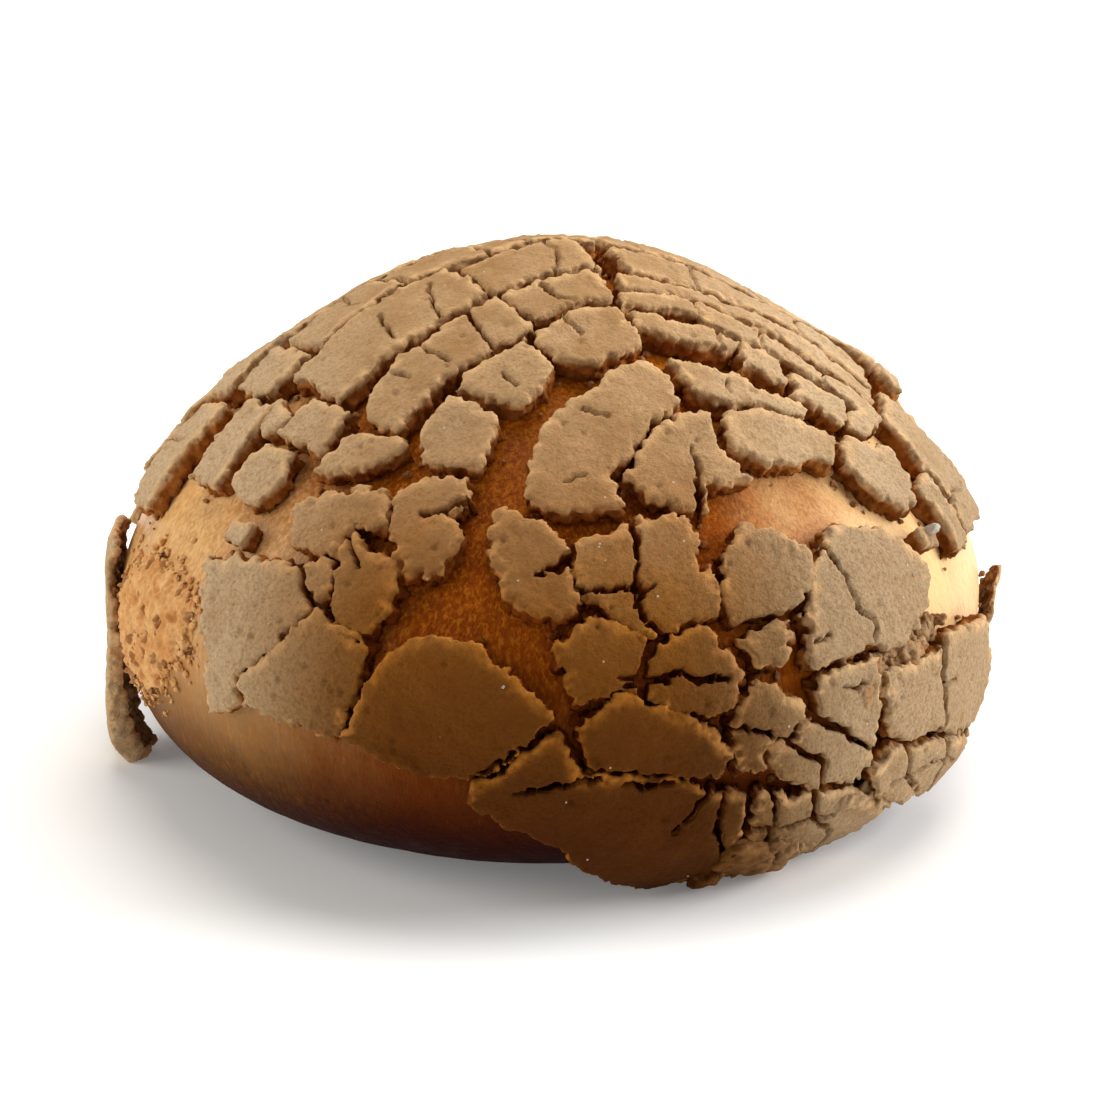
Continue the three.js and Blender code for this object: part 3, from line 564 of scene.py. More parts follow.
def paste_piece(name, solid, look, material, cracks=(), hanging=False, rough=1.0, seed=0, replaces=(),
                sponge=0.0, grow=0.0, taper=0.0, finer=1.0, flare=0.0):
    """One piece of paste, as a height over the crust on a flat grid of directions about its middle.

    s is the distance in from the torn outline, which is the solid's outline moved by ragged() and by
    rounded lumps. Height = solid's height - drop * (1 - sqrt(1 - (1 - s / round)^2)) near the edge, less
    what crack_field takes, plus a slow swell, pits and grain. A wall hangs from the edge in rows down to
    the crust, scalloped by noise that ignores its height, and the underside closes it.

    The material reads three numbers: depth, the share of the thickness that a point is sunk below the
    face, which it darkens as painted shade where deep; rim, which falls by exp(-s / 1.5) from the edge,
    less on sides that face down, and gives the lip its lighter colour, partly a painted highlight; and
    tint, one random number for the piece."""
    centre = unit(solid.start.mean(0))
    chart = Chart(centre)
    start, end = chart.flatten(solid.start), chart.flatten(solid.end)
    step = look.grain / finer / MM / (reach(centre) / RADIUS)
    margin = 2.4
    low, high = start.min(0) - margin, start.max(0) + margin
    u, v = (np.arange(low[k], high[k] + step, step) for k in (0, 1))
    uv = np.stack(np.meshgrid(u, v), -1)
    shape = uv.shape[:2]
    flat = uv.reshape(-1, 2)
    away, _, _ = segment_distance(flat, start, end)
    near = encloses(flat, start, end) | (away < margin)
    flat = flat[near]
    base, normal = crust_at(chart.lift(flat))
    local = reach(chart.lift(flat)) / RADIUS
    wander = ragged(base) * rough
    moved = flat + np.stack([wander @ chart.right, wander @ chart.up], -1) / local[:, None]
    away, _, _ = segment_distance(moved, start, end)
    edge = np.where(encloses(moved, start, end), away, -away) * local
    lobes = 0.34 * (lumps(base, 2.0, 61)[0] - 0.6) + 0.16 * (lumps(base, 0.95, 62)[0] - 0.6)
    lobes *= 0.35 + 1.1 * smooth(-0.35, 0.45, noise(base, 5.0, 69))
    lobes += 0.16 * fractal(base, 1.3, 2, 59)
    lobes += 0.45 * (rough - 1) * (lumps(base, 3.6, 60)[0] - 0.6) + 0.8 * sponge * fractal(base, 2.6, 3, 68)
    edge += rough * lobes + grow
    full = blend(flat, chart.flatten(solid.top_d), solid.top_height)
    under = np.full(len(flat), UNDERSIDE)
    if hanging:
        under = blend(flat, chart.flatten(solid.foot_d), solid.foot_height) + 0.5 * fractal(base, 4.0, 3, 64)
        full += 0.75 * fractal(base, 6.0, 3, 63) - 0.25
    if taper:
        full = 0.25 + (full - 0.25) * smooth(0.0, taper, edge)
    side, lip, lost, draw = crack_field(chart, flat + 0.4 * (moved - flat), local, cracks, step)
    inset = np.minimum(edge, side)
    soft = 0.32 + 0.20 * noise(base, 3.4, seed + 5)
    drop = np.minimum(look.shoulder / MM, 0.4 * full)
    rounding = 1 - np.sqrt(1 - (1 - np.clip(edge / soft, 0, 1)) ** 2)
    nick = 1 - np.sqrt(1 - (1 - np.clip(lip / 0.3, 0, 1)) ** 2)
    swell = look.swell / MM
    relief = swell * (0.9 * fractal(base, 9.0, 2, 71) + 0.30 * fractal(base, 3.2, 2, 72) - 0.6)
    pit, which = lumps(base, 2.3, 73)
    relief -= look.pits / MM * smooth(0.72, 0.92, pit) * (which > 0.6)
    relief += 0.13 * fractal(base, 1.5, 2, 74)
    relief += 0.42 * smooth(3.2, 0.6, edge) * np.maximum(noise(base, 5.5, 75) + 0.25, 0)
    cell = 0.5 * lumps(base, 1.5, 65)[0] + 0.5 * lumps(base, 0.8, 66)[0] - 0.5
    cell -= 0.5 * smooth(0.5, 0.8, lumps(base, 2.6, 67)[0])
    height = full - drop * rounding - 0.2 * nick + relief + sponge * cell
    height = under + (height - under) * (1 - lost)
    height = np.maximum(height, under + 0.25)

    def spread(values, outside):
        """Values of the near points back on the whole grid."""
        whole_grid = np.full((shape[0] * shape[1], *values.shape[1:]), outside, float)
        whole_grid[near] = values
        return whole_grid.reshape(*shape, *values.shape[1:])

    crack_side = (side < edge).astype(float)
    inset, height, under, full, edge, crack_side = (
        spread(values, OUTSIDE) for values in (inset, height, under, full, edge, crack_side))
    kept = kept_cells(inset > 0)
    padded = np.pad(kept, 1)
    around = np.stack([padded[:-1, :-1], padded[:-1, 1:], padded[1:, :-1], padded[1:, 1:]])
    used, whole = around.any(0), around.all(0)
    border = used & ~whole

    slope = np.stack(np.gradient(inset, step)[::-1], -1)
    steep = np.maximum((slope**2).sum(-1), 0.25)
    shift = -inset[..., None] * slope / steep[..., None]
    length = np.linalg.norm(shift, axis=-1, keepdims=True)
    shift *= np.minimum(1, 0.95 * step / np.maximum(length, 1e-9))
    uv = uv + np.where(border[..., None], shift, spread(draw, 0.0))
    outward = -unit(slope + 1e-9)[used]
    # Edges facing up over the dome get the full lip, whose lighter colour is partly a painted highlight;
    # edges facing down get less.
    raised = 0.45 + 0.55 * smooth(-0.6, 0.4, outward[:, 1])

    number = np.full(shape, -1)
    number[used] = np.arange(used.sum())
    rim = border[used]
    base, normal = crust_at(chart.lift(uv[used]))
    height, under, full, edge, crack_side = (
        values[used] for values in (height, under, full, edge, crack_side))
    calm = 1 - 0.7 * np.clip(crack_side[rim], 0, 1)
    top = base + normal * height[:, None]

    count, rim_count = len(top), int(rim.sum())
    tall = float((height - under)[rim].mean())
    rows = max(5, int(math.ceil(tall / (look.grain / MM * 1.1))))
    share = (np.arange(1, rows + 1) / rows)[:, None]
    out = outward[rim]
    out = out[:, :1] * chart.right + out[:, 1:] * chart.up
    out = unit(out - normal[rim] * dot(out, normal[rim])[:, None])
    scallop = fractal(base[rim], 2.6, 2, 81)
    bulge = 0.12 * np.sin(np.pi * share) - 0.12 * share**2 + flare * share
    bulge = bulge + 0.22 * scallop * np.sin(np.pi * np.minimum(share * 1.2, 1))
    level = height[rim] + (under[rim] - height[rim]) * share
    wall = base[rim] + normal[rim] * level[..., None] + out * (bulge * rough * calm)[..., None]
    sole = (base + normal * under[:, None])[~rim]
    points = np.concatenate([top, wall.reshape(-1, 3), sole])

    rim_order, sole_number = np.full(count, -1), np.full(count, -1)
    rim_order[rim] = np.arange(rim_count)
    sole_number[rim] = count + (rows - 1) * rim_count + np.arange(rim_count)
    sole_number[~rim] = count + rows * rim_count + np.arange(count - rim_count)
    j, i = np.nonzero(kept)
    cell = np.stack([number[j, i], number[j, i + 1], number[j + 1, i + 1], number[j + 1, i]], -1)
    neighbours = ((-1, 0, 0, 1), (0, 1, 1, 2), (1, 0, 2, 3), (0, -1, 3, 0))
    brink = np.concatenate([cell[~padded[j + 1 + dj, i + 1 + di]][:, [a, b]] for dj, di, a, b in neighbours])
    below = rim_order[brink]
    levels = [brink, *(count + k * rim_count + below for k in range(rows))]
    sides = [np.concatenate([upper[:, ::-1], lower], -1) for upper, lower in zip(levels[:-1], levels[1:])]
    faces = np.concatenate([cell, *sides, sole_number[cell][:, ::-1]])

    body = np.maximum(full - under, 0.5)
    wall_share = np.broadcast_to(share, (rows, rim_count))
    flat_sole = np.ones(len(sole))
    torn = np.concatenate([
        smooth(1.3, 0.0, edge) * 0.55, ((0.7 + 0.3 * wall_share) * calm).ravel(), flat_sole])
    sunk = np.concatenate([np.clip(1 - (height - under) / body, 0, 1),
                           (1 - (level - under[rim]) / body[rim]).ravel(), flat_sole])
    if hanging:
        sunk = 0.08 + 0.22 * sunk
    lip_and_highlight = np.concatenate([raised * np.exp(-np.maximum(edge, 0) / 1.5), np.ones(rows * rim_count), flat_sole])
    outwards = point_normals(points, faces)
    crumbly = 0.55 * (lumps(points, 1.7, 91)[0] - 0.5) + 0.32 * (lumps(points, 0.9, 94)[0] - 0.5)
    crumbly += 0.30 * fractal(points, 2.4, 3, 92) + 0.30 * noise(points, 0.7, 95) - 0.05
    grain = 0.05 * fractal(points, 0.8, 2, 93)
    points = points + outwards * (grain + rough * look.crumble * torn**1.5 * crumbly)[:, None]
    points[:, 2] = np.maximum(points[:, 2], 0.01)
    if not sponge:
        PERCHES["face"].append((points[:count][edge > 1.5], normal[edge > 1.5]))
        PERCHES["foot"].append((base[rim] + 0.8 * out, normal[rim], out))
    shade = float(scramble(np.array([[seed, 5, 9]]), 7)[0])
    add_piece(name, points, faces, material, "topping", replaces, depth=sunk, rim=lip_and_highlight, tint=shade)


def ball(divisions):
    """Points and triangles of a unit ball: an icosahedron, each face cut in four this many times."""
    g = (1 + 5**0.5) / 2
    points = np.array([(-1, g, 0), (1, g, 0), (-1, -g, 0), (1, -g, 0), (0, -1, g), (0, 1, g),
                       (0, -1, -g), (0, 1, -g), (g, 0, -1), (g, 0, 1), (-g, 0, -1), (-g, 0, 1)])
    faces = np.array([(0, 11, 5), (0, 5, 1), (0, 1, 7), (0, 7, 10), (0, 10, 11), (1, 5, 9), (5, 11, 4),
                      (11, 10, 2), (10, 7, 6), (7, 1, 8), (3, 9, 4), (3, 4, 2), (3, 2, 6), (3, 6, 8),
                      (3, 8, 9), (4, 9, 5), (2, 4, 11), (6, 2, 10), (8, 6, 7), (9, 8, 1)])
    for _ in range(divisions):
        edges = np.sort(np.concatenate([faces[:, [0, 1]], faces[:, [1, 2]], faces[:, [2, 0]]]), 1)
        unique, inverse = np.unique(edges, axis=0, return_inverse=True)
        ab, bc, ca = (inverse.reshape(-1) + len(points)).reshape(3, -1)
        points = np.concatenate([points, points[unique].mean(1)])
        a, b, c = faces.T
        quarters = (a, ab, ca), (ab, b, bc), (ca, bc, c), (ab, bc, ca)
        faces = np.concatenate([np.stack(quarter, -1) for quarter in quarters])
    return unit(points), faces


def blobs(name, centres, normals, radii, material, slot, seed, divisions=1, ragged_by=0.45, flat=0.75,
          angular=False, depth=0.35):
    """Crumbs, lumps or grains: unit balls stretched at random, squashed along the normals and roughened.

    Point = centre + radius * stretch * direction * (1 + raggedness * noise of the direction); an angular
    one is pressed towards a box with the p-norm of its direction."""
    rng = np.random.default_rng(seed)
    directions, faces = ball(divisions)
    count = len(centres)
    turned = unit(rng.normal(size=(count, 3)))
    side = unit(np.cross(normals, turned))
    over = np.cross(normals, side)
    stretch = rng.uniform(0.75, 1.3, (count, 1, 3)) * np.array([1, 1, flat])
    shape = np.broadcast_to(directions, (count, *directions.shape))
    if angular:
        shape = shape / ((np.abs(shape) ** 5).sum(-1, keepdims=True) ** 0.2)
    where = shape * 1.6 + rng.uniform(0, 200, (count, 1, 3))
    swelling = 1 + ragged_by * (0.9 * fractal(where, 1.5, 2, seed) + 0.5 * (lumps(where, 1.2, seed)[0] - 0.5))
    shape = shape * swelling[..., None] * stretch * radii[:, None, None]
    points = (centres[:, None] + shape[..., :1] * side[:, None] + shape[..., 1:2] * over[:, None]
              + shape[..., 2:] * normals[:, None])
    points = points.reshape(-1, 3)
    points[:, 2] = np.maximum(points[:, 2], 0.02)
    many = (faces + np.arange(count)[:, None, None] * len(directions)).reshape(-1, 3)
    shades = np.repeat(rng.uniform(0, 1, count), len(directions))
    add_piece(name, points, many, material, slot, depth=depth, rim=0.5, tint=shades)


# Materials.

def srgb(red, green, blue):
    """Linear colour of an 8-bit screen colour, by the two-part curve of sRGB."""
    shares = np.array([red, green, blue]) / 255
    linear = np.where(shares <= 0.04045, shares / 12.92, ((shares + 0.055) / 1.055) ** 2.4)
    return tuple(float(x) for x in linear)


class Value:
    """A number that changes over a surface; sums and products on it add Math nodes."""

    def __init__(self, finish, socket):
        self.finish, self.socket = finish, socket

    def _with(self, operation, first, second):
        """Adds a Math node on two values or numbers."""
        return self.finish.node("ShaderNodeMath", {"operation": operation}, (first, second))

    def __add__(self, other):
        return self._with("ADD", self, other)

    def __sub__(self, other):
        return self._with("SUBTRACT", self, other)

    def __rsub__(self, other):
        return self._with("SUBTRACT", other, self)

    def __mul__(self, other):
        return self._with("MULTIPLY", self, other)

    def __pow__(self, other):
        return self._with("POWER", self, other)

    __radd__, __rmul__ = __add__, __mul__

    def rise(self, low, high):
        """0 below low, 1 above high, and smooth between."""
        settings = {"interpolation_type": "SMOOTHSTEP"}
        return self.finish.node("ShaderNodeMapRange", settings,
                                {"Value": self, "From Min": low, "From Max": high})


class Finish:
    """A material under construction: node() adds a node of any type, and the rest are short for it."""

    def __init__(self, name):
        self.material = bpy.data.materials.new(name)
        self.material.use_nodes = True
        self.tree = self.material.node_tree
        self.tree.nodes.clear()
        self.place = self.node("ShaderNodeTexCoord", {}, {}, "Object")

    def node(self, kind, settings, inputs, output=0):
        """Adds a node, sets its settings, then its sockets by name or order; gives one output."""
        made = self.tree.nodes.new(kind)
        for key, value in settings.items():
            setattr(made, key, value)
        pairs = inputs.items() if isinstance(inputs, dict) else enumerate(inputs)
        for key, value in pairs:
            if isinstance(value, Value):
                self.tree.links.new(value.socket, made.inputs[key])
            else:
                made.inputs[key].default_value = value
        return Value(self, made.outputs[output]) if made.outputs else None

    def noise(self, size, detail=3.0, roughness=0.55, at=None, distortion=0.0):
        """Noise with features of about this size in millimetres, in 0..1."""
        return self.node("ShaderNodeTexNoise", {}, {
            "Vector": at or self.place, "Scale": 1 / (size * MM), "Detail": detail,
            "Roughness": roughness, "Distortion": distortion})

    def cells(self, size):
        """Distance to the nearest of scattered centres this far apart in millimetres."""
        sockets = {"Vector": self.place, "Scale": 1 / (size * MM)}
        return self.node("ShaderNodeTexVoronoi", {}, sockets, "Distance")

    def mix(self, factor, first, second, blend="MIX"):
        """Colour between two colours."""
        first, second = (c if isinstance(c, Value) else (*c, 1.0) for c in (first, second))
        return self.node("ShaderNodeMix", {"data_type": "RGBA", "blend_type": blend},
                         {0: factor, 6: first, 7: second}, 2)

    def attribute(self, name):
        """A number stored at the mesh's points."""
        return self.node("ShaderNodeAttribute", {"attribute_name": name}, {}, "Fac")

    def along(self, axis):
        """Object coordinate along X, Y or Z, in millimetres."""
        return self.node("ShaderNodeSeparateXYZ", {}, {0: self.place}, axis) * (1 / MM)

    def stretched(self, x, y, z):
        """Object coordinates squeezed by these factors, for streaks."""
        sockets = {"Vector": self.place, "Scale": (x, y, z)}
        return self.node("ShaderNodeMapping", {"vector_type": "POINT"}, sockets)

    def finish(self, colour, roughness, bumps, **constants):
        """Joins the shader: bumps are pairs of a height in 0..1 and its depth in millimetres."""
        normal = None
        for height, depth in bumps:
            sockets = {"Height": height, "Distance": depth * MM, "Strength": 1.0}
            if normal is not None:
                sockets["Normal"] = normal
            normal = self.node("ShaderNodeBump", {}, sockets)
        sockets = {"Base Color": colour, "Roughness": roughness, "Normal": normal}
        sockets.update({key.replace("_", " "): value for key, value in constants.items()})
        shader = self.node("ShaderNodeBsdfPrincipled", {}, sockets)
        self.node("ShaderNodeOutputMaterial", {}, {"Surface": shader})
        return self.material


def paste_material(look):
    """Dry cocoa sugar paste: a sandy tan face, warmer lighter lips that are partly a painted highlight, and
    brown torn walls that darken downwards with painted shade.

    It is greyer and lighter away to the sides, which is painted side light; in front it is multiplied towards
    gold and, towards the foot, towards brown, which is painted shade."""
    f = Finish("sugar_paste")
    depth, rim, tint = f.attribute("depth"), f.attribute("rim"), f.attribute("tint")
    blotch = f.noise(6.0, 4.0, 0.6)
    speckle = f.noise(0.5, 2.0, 0.7)
    flecks = f.cells(1.7)
    face = f.mix((blotch - 0.5) * 2.4 + 0.42, look.face, look.face_dark)
    face = f.mix((tint - 0.4) * 0.6, face, look.face_grey_and_side_light)
    sideways = ((f.along("X") + 3.0) ** 2) ** 0.5
    # Painted light: away to the sides the face turns greyer and lighter, where the side lamps fall.
    face = f.mix(sideways.rise(12.0, 40.0) * 0.8, face, look.face_grey_and_side_light)
    face = f.mix(f.noise(9.0, 3.0).rise(0.52, 0.75) * 0.35, face, look.face_dark)
    face = f.mix((speckle - 0.5) * 2.6 + 0.22, face, look.face_dark)
    face = f.mix((1 - flecks.rise(0.06, 0.16)) * 0.7, face, look.wall)
    # Lips: a lighter warm band round each piece, partly its own colour and partly a painted highlight.
    lip = rim.rise(0.25, 0.8) * (f.noise(2.2, 3.0).rise(0.3, 0.62) * 0.7 + 0.15)
    face = f.mix(lip * 0.8, face, look.lip)
    wall = f.mix(f.noise(1.8, 4.0).rise(0.35, 0.7), look.wall, look.wall_dark)
    torn = (depth + (f.noise(1.3, 3.0) - 0.5) * 0.3).rise(0.15, 0.40)
    colour = f.mix(torn, face, wall)
    # Painted shade: the deepest parts of cracks, the lower walls and the underside are darkened towards the
    # crevice colour.
    colour = f.mix((depth + (blotch - 0.5) * 0.3).rise(0.66, 1.05) * 0.75, colour, look.crevice_shade)
    drifting = (blotch - 0.5) * 16
    front = (drifting - f.along("Y")).rise(20.0, 44.0)
    highlighted_lip = lip * (1 - torn)
    # Painted shade in front: the paste there is multiplied by a golden tone, less to the sides and higher up.
    warm_front_shade = front * (1 - sideways.rise(17.0, 40.0)) * (1 - (f.along("Z") + drifting).rise(34.0, 64.0))
    colour = f.mix(warm_front_shade, colour, f.mix(1.0, colour, look.warm_front_shade, "MULTIPLY"))
    # Painted shade: paste low in front is multiplied towards brown, and paste low on the right more mildly;
    # the lips are mostly spared.
    low = 1 - (f.along("Z") + drifting * 0.7).rise(12.0, 58.0)
    right_low_shade = (f.along("X") + drifting * 0.4).rise(12.0, 32.0) * (1 - f.along("Z").rise(38.0, 56.0)) * 0.30
    shade = (front * (1 - sideways.rise(19.0, 43.0)) * low * 0.94 + right_low_shade) * (1 - highlighted_lip * 0.75)
    colour = f.mix(shade, colour, f.mix(1.0, colour, look.low_front_shade, "MULTIPLY"))
    sugar = (1 - f.cells(3.1).rise(0.035, 0.06)) * (1 - torn)
    colour = f.mix(sugar * 0.6, colour, look.sugar)
    rough = 0.88 - sugar * 0.5 - shade * 0.06
    return f.finish(colour, rough, [
        (f.noise(1.6, 4.0, 0.6), 0.35), (f.noise(0.35, 3.0, 0.65), 0.18)],
        Specular_IOR_Level=0.06)


def crust_material(look):
    """Egg-washed crust: golden in front, paler at the sides and behind, partly as painted side light, with a
    painted peach highlight on the right shoulder, darker at the foot, partly browner baking and partly
    painted shade, and streaked.
    """
    f = Finish("baked_crust")
    x, y, z = f.along("X"), f.along("Y"), f.along("Z")
    broad, mottle = f.noise(12.0, 4.0, 0.6), f.noise(2.6, 5.0, 0.65)
    streak = f.noise(0.55, 4.0, 0.65, f.stretched(1.0, 1.0, 0.22), 0.4)
    fine = f.noise(0.26, 3.0, 0.6, f.stretched(1.0, 1.0, 0.3))
    drifting = (broad - 0.5) * 26
    # Painted shade: at the front right, low down, the crust keeps the darker golden colour instead of the
    # painted side light.
    front_right_shade = x.rise(4.0, 14.0) * (1 - z.rise(34.0, 46.0)) * (1 - y.rise(-40.0, -20.0))
    side = ((x * x) ** 0.5 + y.rise(-12.0, 34.0) * 26 + drifting - front_right_shade * 16).rise(17.0, 46.0)
    # Paler at the sides and behind, partly lighter baking and partly painted side light; lighter golden
    # higher up is painted light from above.
    colour = f.mix(side, f.mix(z.rise(42.0, 58.0) * 0.35, look.golden, look.fleck), look.pale)
    # Painted highlight: peach on the right shoulder and, more faintly, high on the sides.
    colour = f.mix(x.rise(22.0, 42.0) * side * 0.9, colour, look.peach_tone_and_highlight)
    colour = f.mix((z + drifting).rise(26.0, 50.0) * side * 0.25, colour, look.peach_tone_and_highlight)
    low = 1 - (z + (broad - 0.5) * 18).rise(8.0, 34.0)
    left = 1 - x.rise(-10.0, 25.0)
    colour = f.mix(low * side * left, colour, look.honey)
    # Darker towards the foot, partly browner baking and partly painted shade: the crust is multiplied by the
    # dark colour, streaked, and less high on the left.
    raised = z + (1 - x.rise(-46.0, -24.0)) * 3
    deep = 1 - (raised + (mottle - 0.5) * 10 + (streak - 0.5) * 22).rise(6.0, 37.0)
    browned = f.mix(side, look.baked, look.honey)
    colour = f.mix(((mottle - 0.5) * 1.6 + 0.18) * (1 - x.rise(5.0, 30.0) * 0.85), colour, browned)
    quiet = 1 - side * 0.5 - x.rise(5.0, 30.0) * 0.3
    colour = f.mix(streak.rise(0.47, 0.62) * quiet * 0.6, colour, browned)
    colour = f.mix((1 - streak).rise(0.50, 0.64) * quiet * 0.6, colour, f.mix(side, look.fleck, look.peach_tone_and_highlight))
    colour = f.mix(fine.rise(0.5, 0.75) * quiet * 0.4, colour, browned)
    colour = f.mix(deep, colour, f.mix(1.0, colour, look.dark, "MULTIPLY"))
    rough = 0.42 + (mottle - 0.5) * 0.5 + deep * 0.15
    gloss = (side * 0.4 + 0.03) * (1 - deep) * z.rise(6.0, 34.0)
    return f.finish(colour, rough, [(streak, 0.20), (fine, 0.10), (mottle, 0.35)],
                    Specular_IOR_Level=0.03, Coat_Weight=gloss, Coat_Roughness=0.3)


def crumb_material(look):
    """Torn inside of the bun: pale and spongy, with painted shade in its hollows, and toasted tips."""
    f = Finish("torn_crumb")
    depth = f.attribute("depth")
    colour = f.mix(f.noise(2.4, 4.0).rise(0.35, 0.65), look.crumb, look.crumb_toasted)
    # Painted shade: sunk hollows of the crumb are darkened.
    colour = f.mix(depth.rise(0.35, 1.1) * 0.6, colour, look.hollow_shade)
    return f.finish(colour, f.noise(1.0) * 0.2 + 0.75, [(f.noise(0.6, 4.0, 0.7), 0.3)],
                    Specular_IOR_Level=0.25)


def sugar_material(look):
    """Grains of sugar: glassy and partly clear, in patches of lighter and darker tone."""
    f = Finish("sugar_grain")
    colour = f.mix(f.noise(0.8), look.sugar, tuple(0.75 * c for c in look.sugar))
    return f.finish(colour, f.noise(0.5) * 0.2 + 0.12, [(f.noise(0.4), 0.05)],
                    Transmission_Weight=0.35, IOR=1.5)


def floor_material(look):
    """Plain pale matt floor with the faintest unevenness."""
    f = Finish("pale_floor")
    colour = f.mix(f.noise(60.0), look.floor, tuple(0.985 * c for c in look.floor))
    return f.finish(colour, f.noise(40.0) * 0.1 + 0.8, [(f.noise(2.0), 0.01)], Specular_IOR_Level=0.1,
                    Emission_Color=(*look.floor, 1.0), Emission_Strength=FLOOR_GLOW)


# Settings.

def small_length(name, description, millimetres):
    """Property that holds a small length."""
    return FloatProperty(name=name, description=description, default=millimetres * MM, unit="LENGTH",
                         min=0.0, precision=5)


def screen_colour(name, description, red, green, blue):
    """Property that holds a colour, given as on a screen."""
    return FloatVectorProperty(name=name, description=description, default=srgb(red, green, blue),
                               subtype="COLOR", size=3, min=0.0, max=1.0)


class PasteLook(bpy.types.PropertyGroup):
    """Sizes and colours of the sugar paste."""

    grain: small_length("Grid", "Spacing of the points on a piece of paste", 0.27)
    shoulder: small_length("Shoulder", "How far the face drops as it rounds over to the wall", 0.34)
    swell: small_length("Swell", "Height of the paste's slow unevenness", 0.30)
    pits: small_length("Pits", "Depth of the small pits in the face", 0.35)
    crumble: FloatProperty(name="Crumble", description="How rough the torn walls are", default=1.7, min=0.0)
    face: screen_colour("Face", "Sandy face of the paste", 182, 147, 107)
    face_dark: screen_colour("Face, cocoa", "Darker grains of the face", 152, 114, 72)
    # Greyer face: random greyer pieces, and also the painted light on the sides.
    face_grey_and_side_light: screen_colour("Face, grey", "Greyer pieces", 190, 165, 132)
    # Lip colour, partly the paste's own and partly a painted highlight.
    lip: screen_colour("Lip", "Warm lip round each piece", 216, 174, 124)
    # Multiplied in front as painted shade.
    warm_front_shade: screen_colour("Warm paste", "Paste in front, more golden", 222, 177, 98)
    # Multiplied low in front and low on the right as painted shade.
    low_front_shade: screen_colour("Low paste", "Paste near the foot, browner", 124, 101, 36)
    wall: screen_colour("Wall", "Torn wall of the paste", 168, 104, 46)
    wall_dark: screen_colour("Wall, dark", "Darker patches of the wall", 118, 64, 20)
    # Colour of the painted shade in cracks and under the paste.
    crevice_shade: screen_colour("Crevice", "Deepest part of a crack", 100, 54, 18)
    sugar: screen_colour("Sugar", "Grains of sugar", 206, 196, 178)


class CrustLook(bpy.types.PropertyGroup):
    """Sizes and colours of the bun's crust and torn crumb."""

    segments: IntProperty(name="Segments", description="Points round the bun", default=440, min=12)
    rings: IntProperty(name="Rings", description="Points from foot to top", default=220, min=12)
    relief: small_length("Relief", "Height of the crust's unevenness", 0.22)
    golden: screen_colour("Golden", "Crust in front", 158, 76, 4)
    # Partly lighter baking of the sides, partly painted side light.
    pale: screen_colour("Pale", "Lightly baked sides", 216, 166, 106)
    # Peach tone of the lighter streaks on the sides, and the painted highlight on the right shoulder.
    peach_tone_and_highlight: screen_colour("Peach", "Palest shoulders", 250, 204, 142)
    honey: screen_colour("Honey", "Low on the sides", 160, 100, 22)
    fleck: screen_colour("Flecks", "Golden flecks between the streaks", 196, 118, 28)
    baked: screen_colour("Baked", "Browned streaks", 112, 48, 5)
    # Multiplied in at the foot: partly browner baking, partly painted shade.
    dark: screen_colour("Dark", "Darkest baked parts, low down", 74, 38, 8)
    crumb: screen_colour("Crumb", "Inside of the bun where the skin is torn", 220, 170, 110)
    crumb_toasted: screen_colour("Crumb, toasted", "Toasted tips of the torn crumb", 200, 138, 78)
    # Colour of the painted shade in the hollows of the crumb.
    hollow_shade: screen_colour("Hollow", "Hollows in the crumb", 126, 70, 24)


class ScatterLook(bpy.types.PropertyGroup):
    """Loose crumbs and sugar."""

    crumbs: IntProperty(name="Crumbs", description="Crumbs of paste lying on the bun", default=620, min=0)
    grains: IntProperty(name="Sugar grains", description="Grains of sugar on the paste", default=16, min=0)
    crumb_size: small_length("Crumb size", "Mean radius of a crumb", 0.32)
    grain_size: small_length("Grain size", "Mean radius of a sugar grain", 0.15)
    seed: IntProperty(name="Seed", description="Picks the crumbs' places", default=17)


class StageLook(bpy.types.PropertyGroup):
    """Camera, light and floor."""

    elevation: FloatProperty(name="Camera elevation", description="Height of the view above the horizon",
                             default=math.radians(20), subtype="ANGLE")
    distance: small_length("Camera distance", "From the camera to the bun's middle", 600.0)
    lens: FloatProperty(name="Lens", description="Focal length in millimetres", default=147.54, min=1.0)
    floor: screen_colour("Floor", "Pale floor", 246, 245, 243)
    sky: FloatProperty(name="Fill", description="Strength of the even light all round", default=0.27, min=0.0)
    key: FloatProperty(name="Key light", description="Power of the large lamp overhead", default=8.0,
                       min=0.0, unit="POWER")


class BreadLook(bpy.types.PropertyGroup):
    """All settings of the bread."""

    paste: PointerProperty(type=PasteLook)
    crust: PointerProperty(type=CrustLook)
    scatter: PointerProperty(type=ScatterLook)
    stage: PointerProperty(type=StageLook)


materials = {}


def material_for(key, look):
    """The finish of this name, made once."""
    makers = {"paste": paste_material, "crust": crust_material, "crumb": crumb_material,
              "sugar": sugar_material, "floor": floor_material}
    if key not in materials:
        materials[key] = makers[key](look)
    return materials[key]


# Pieces.

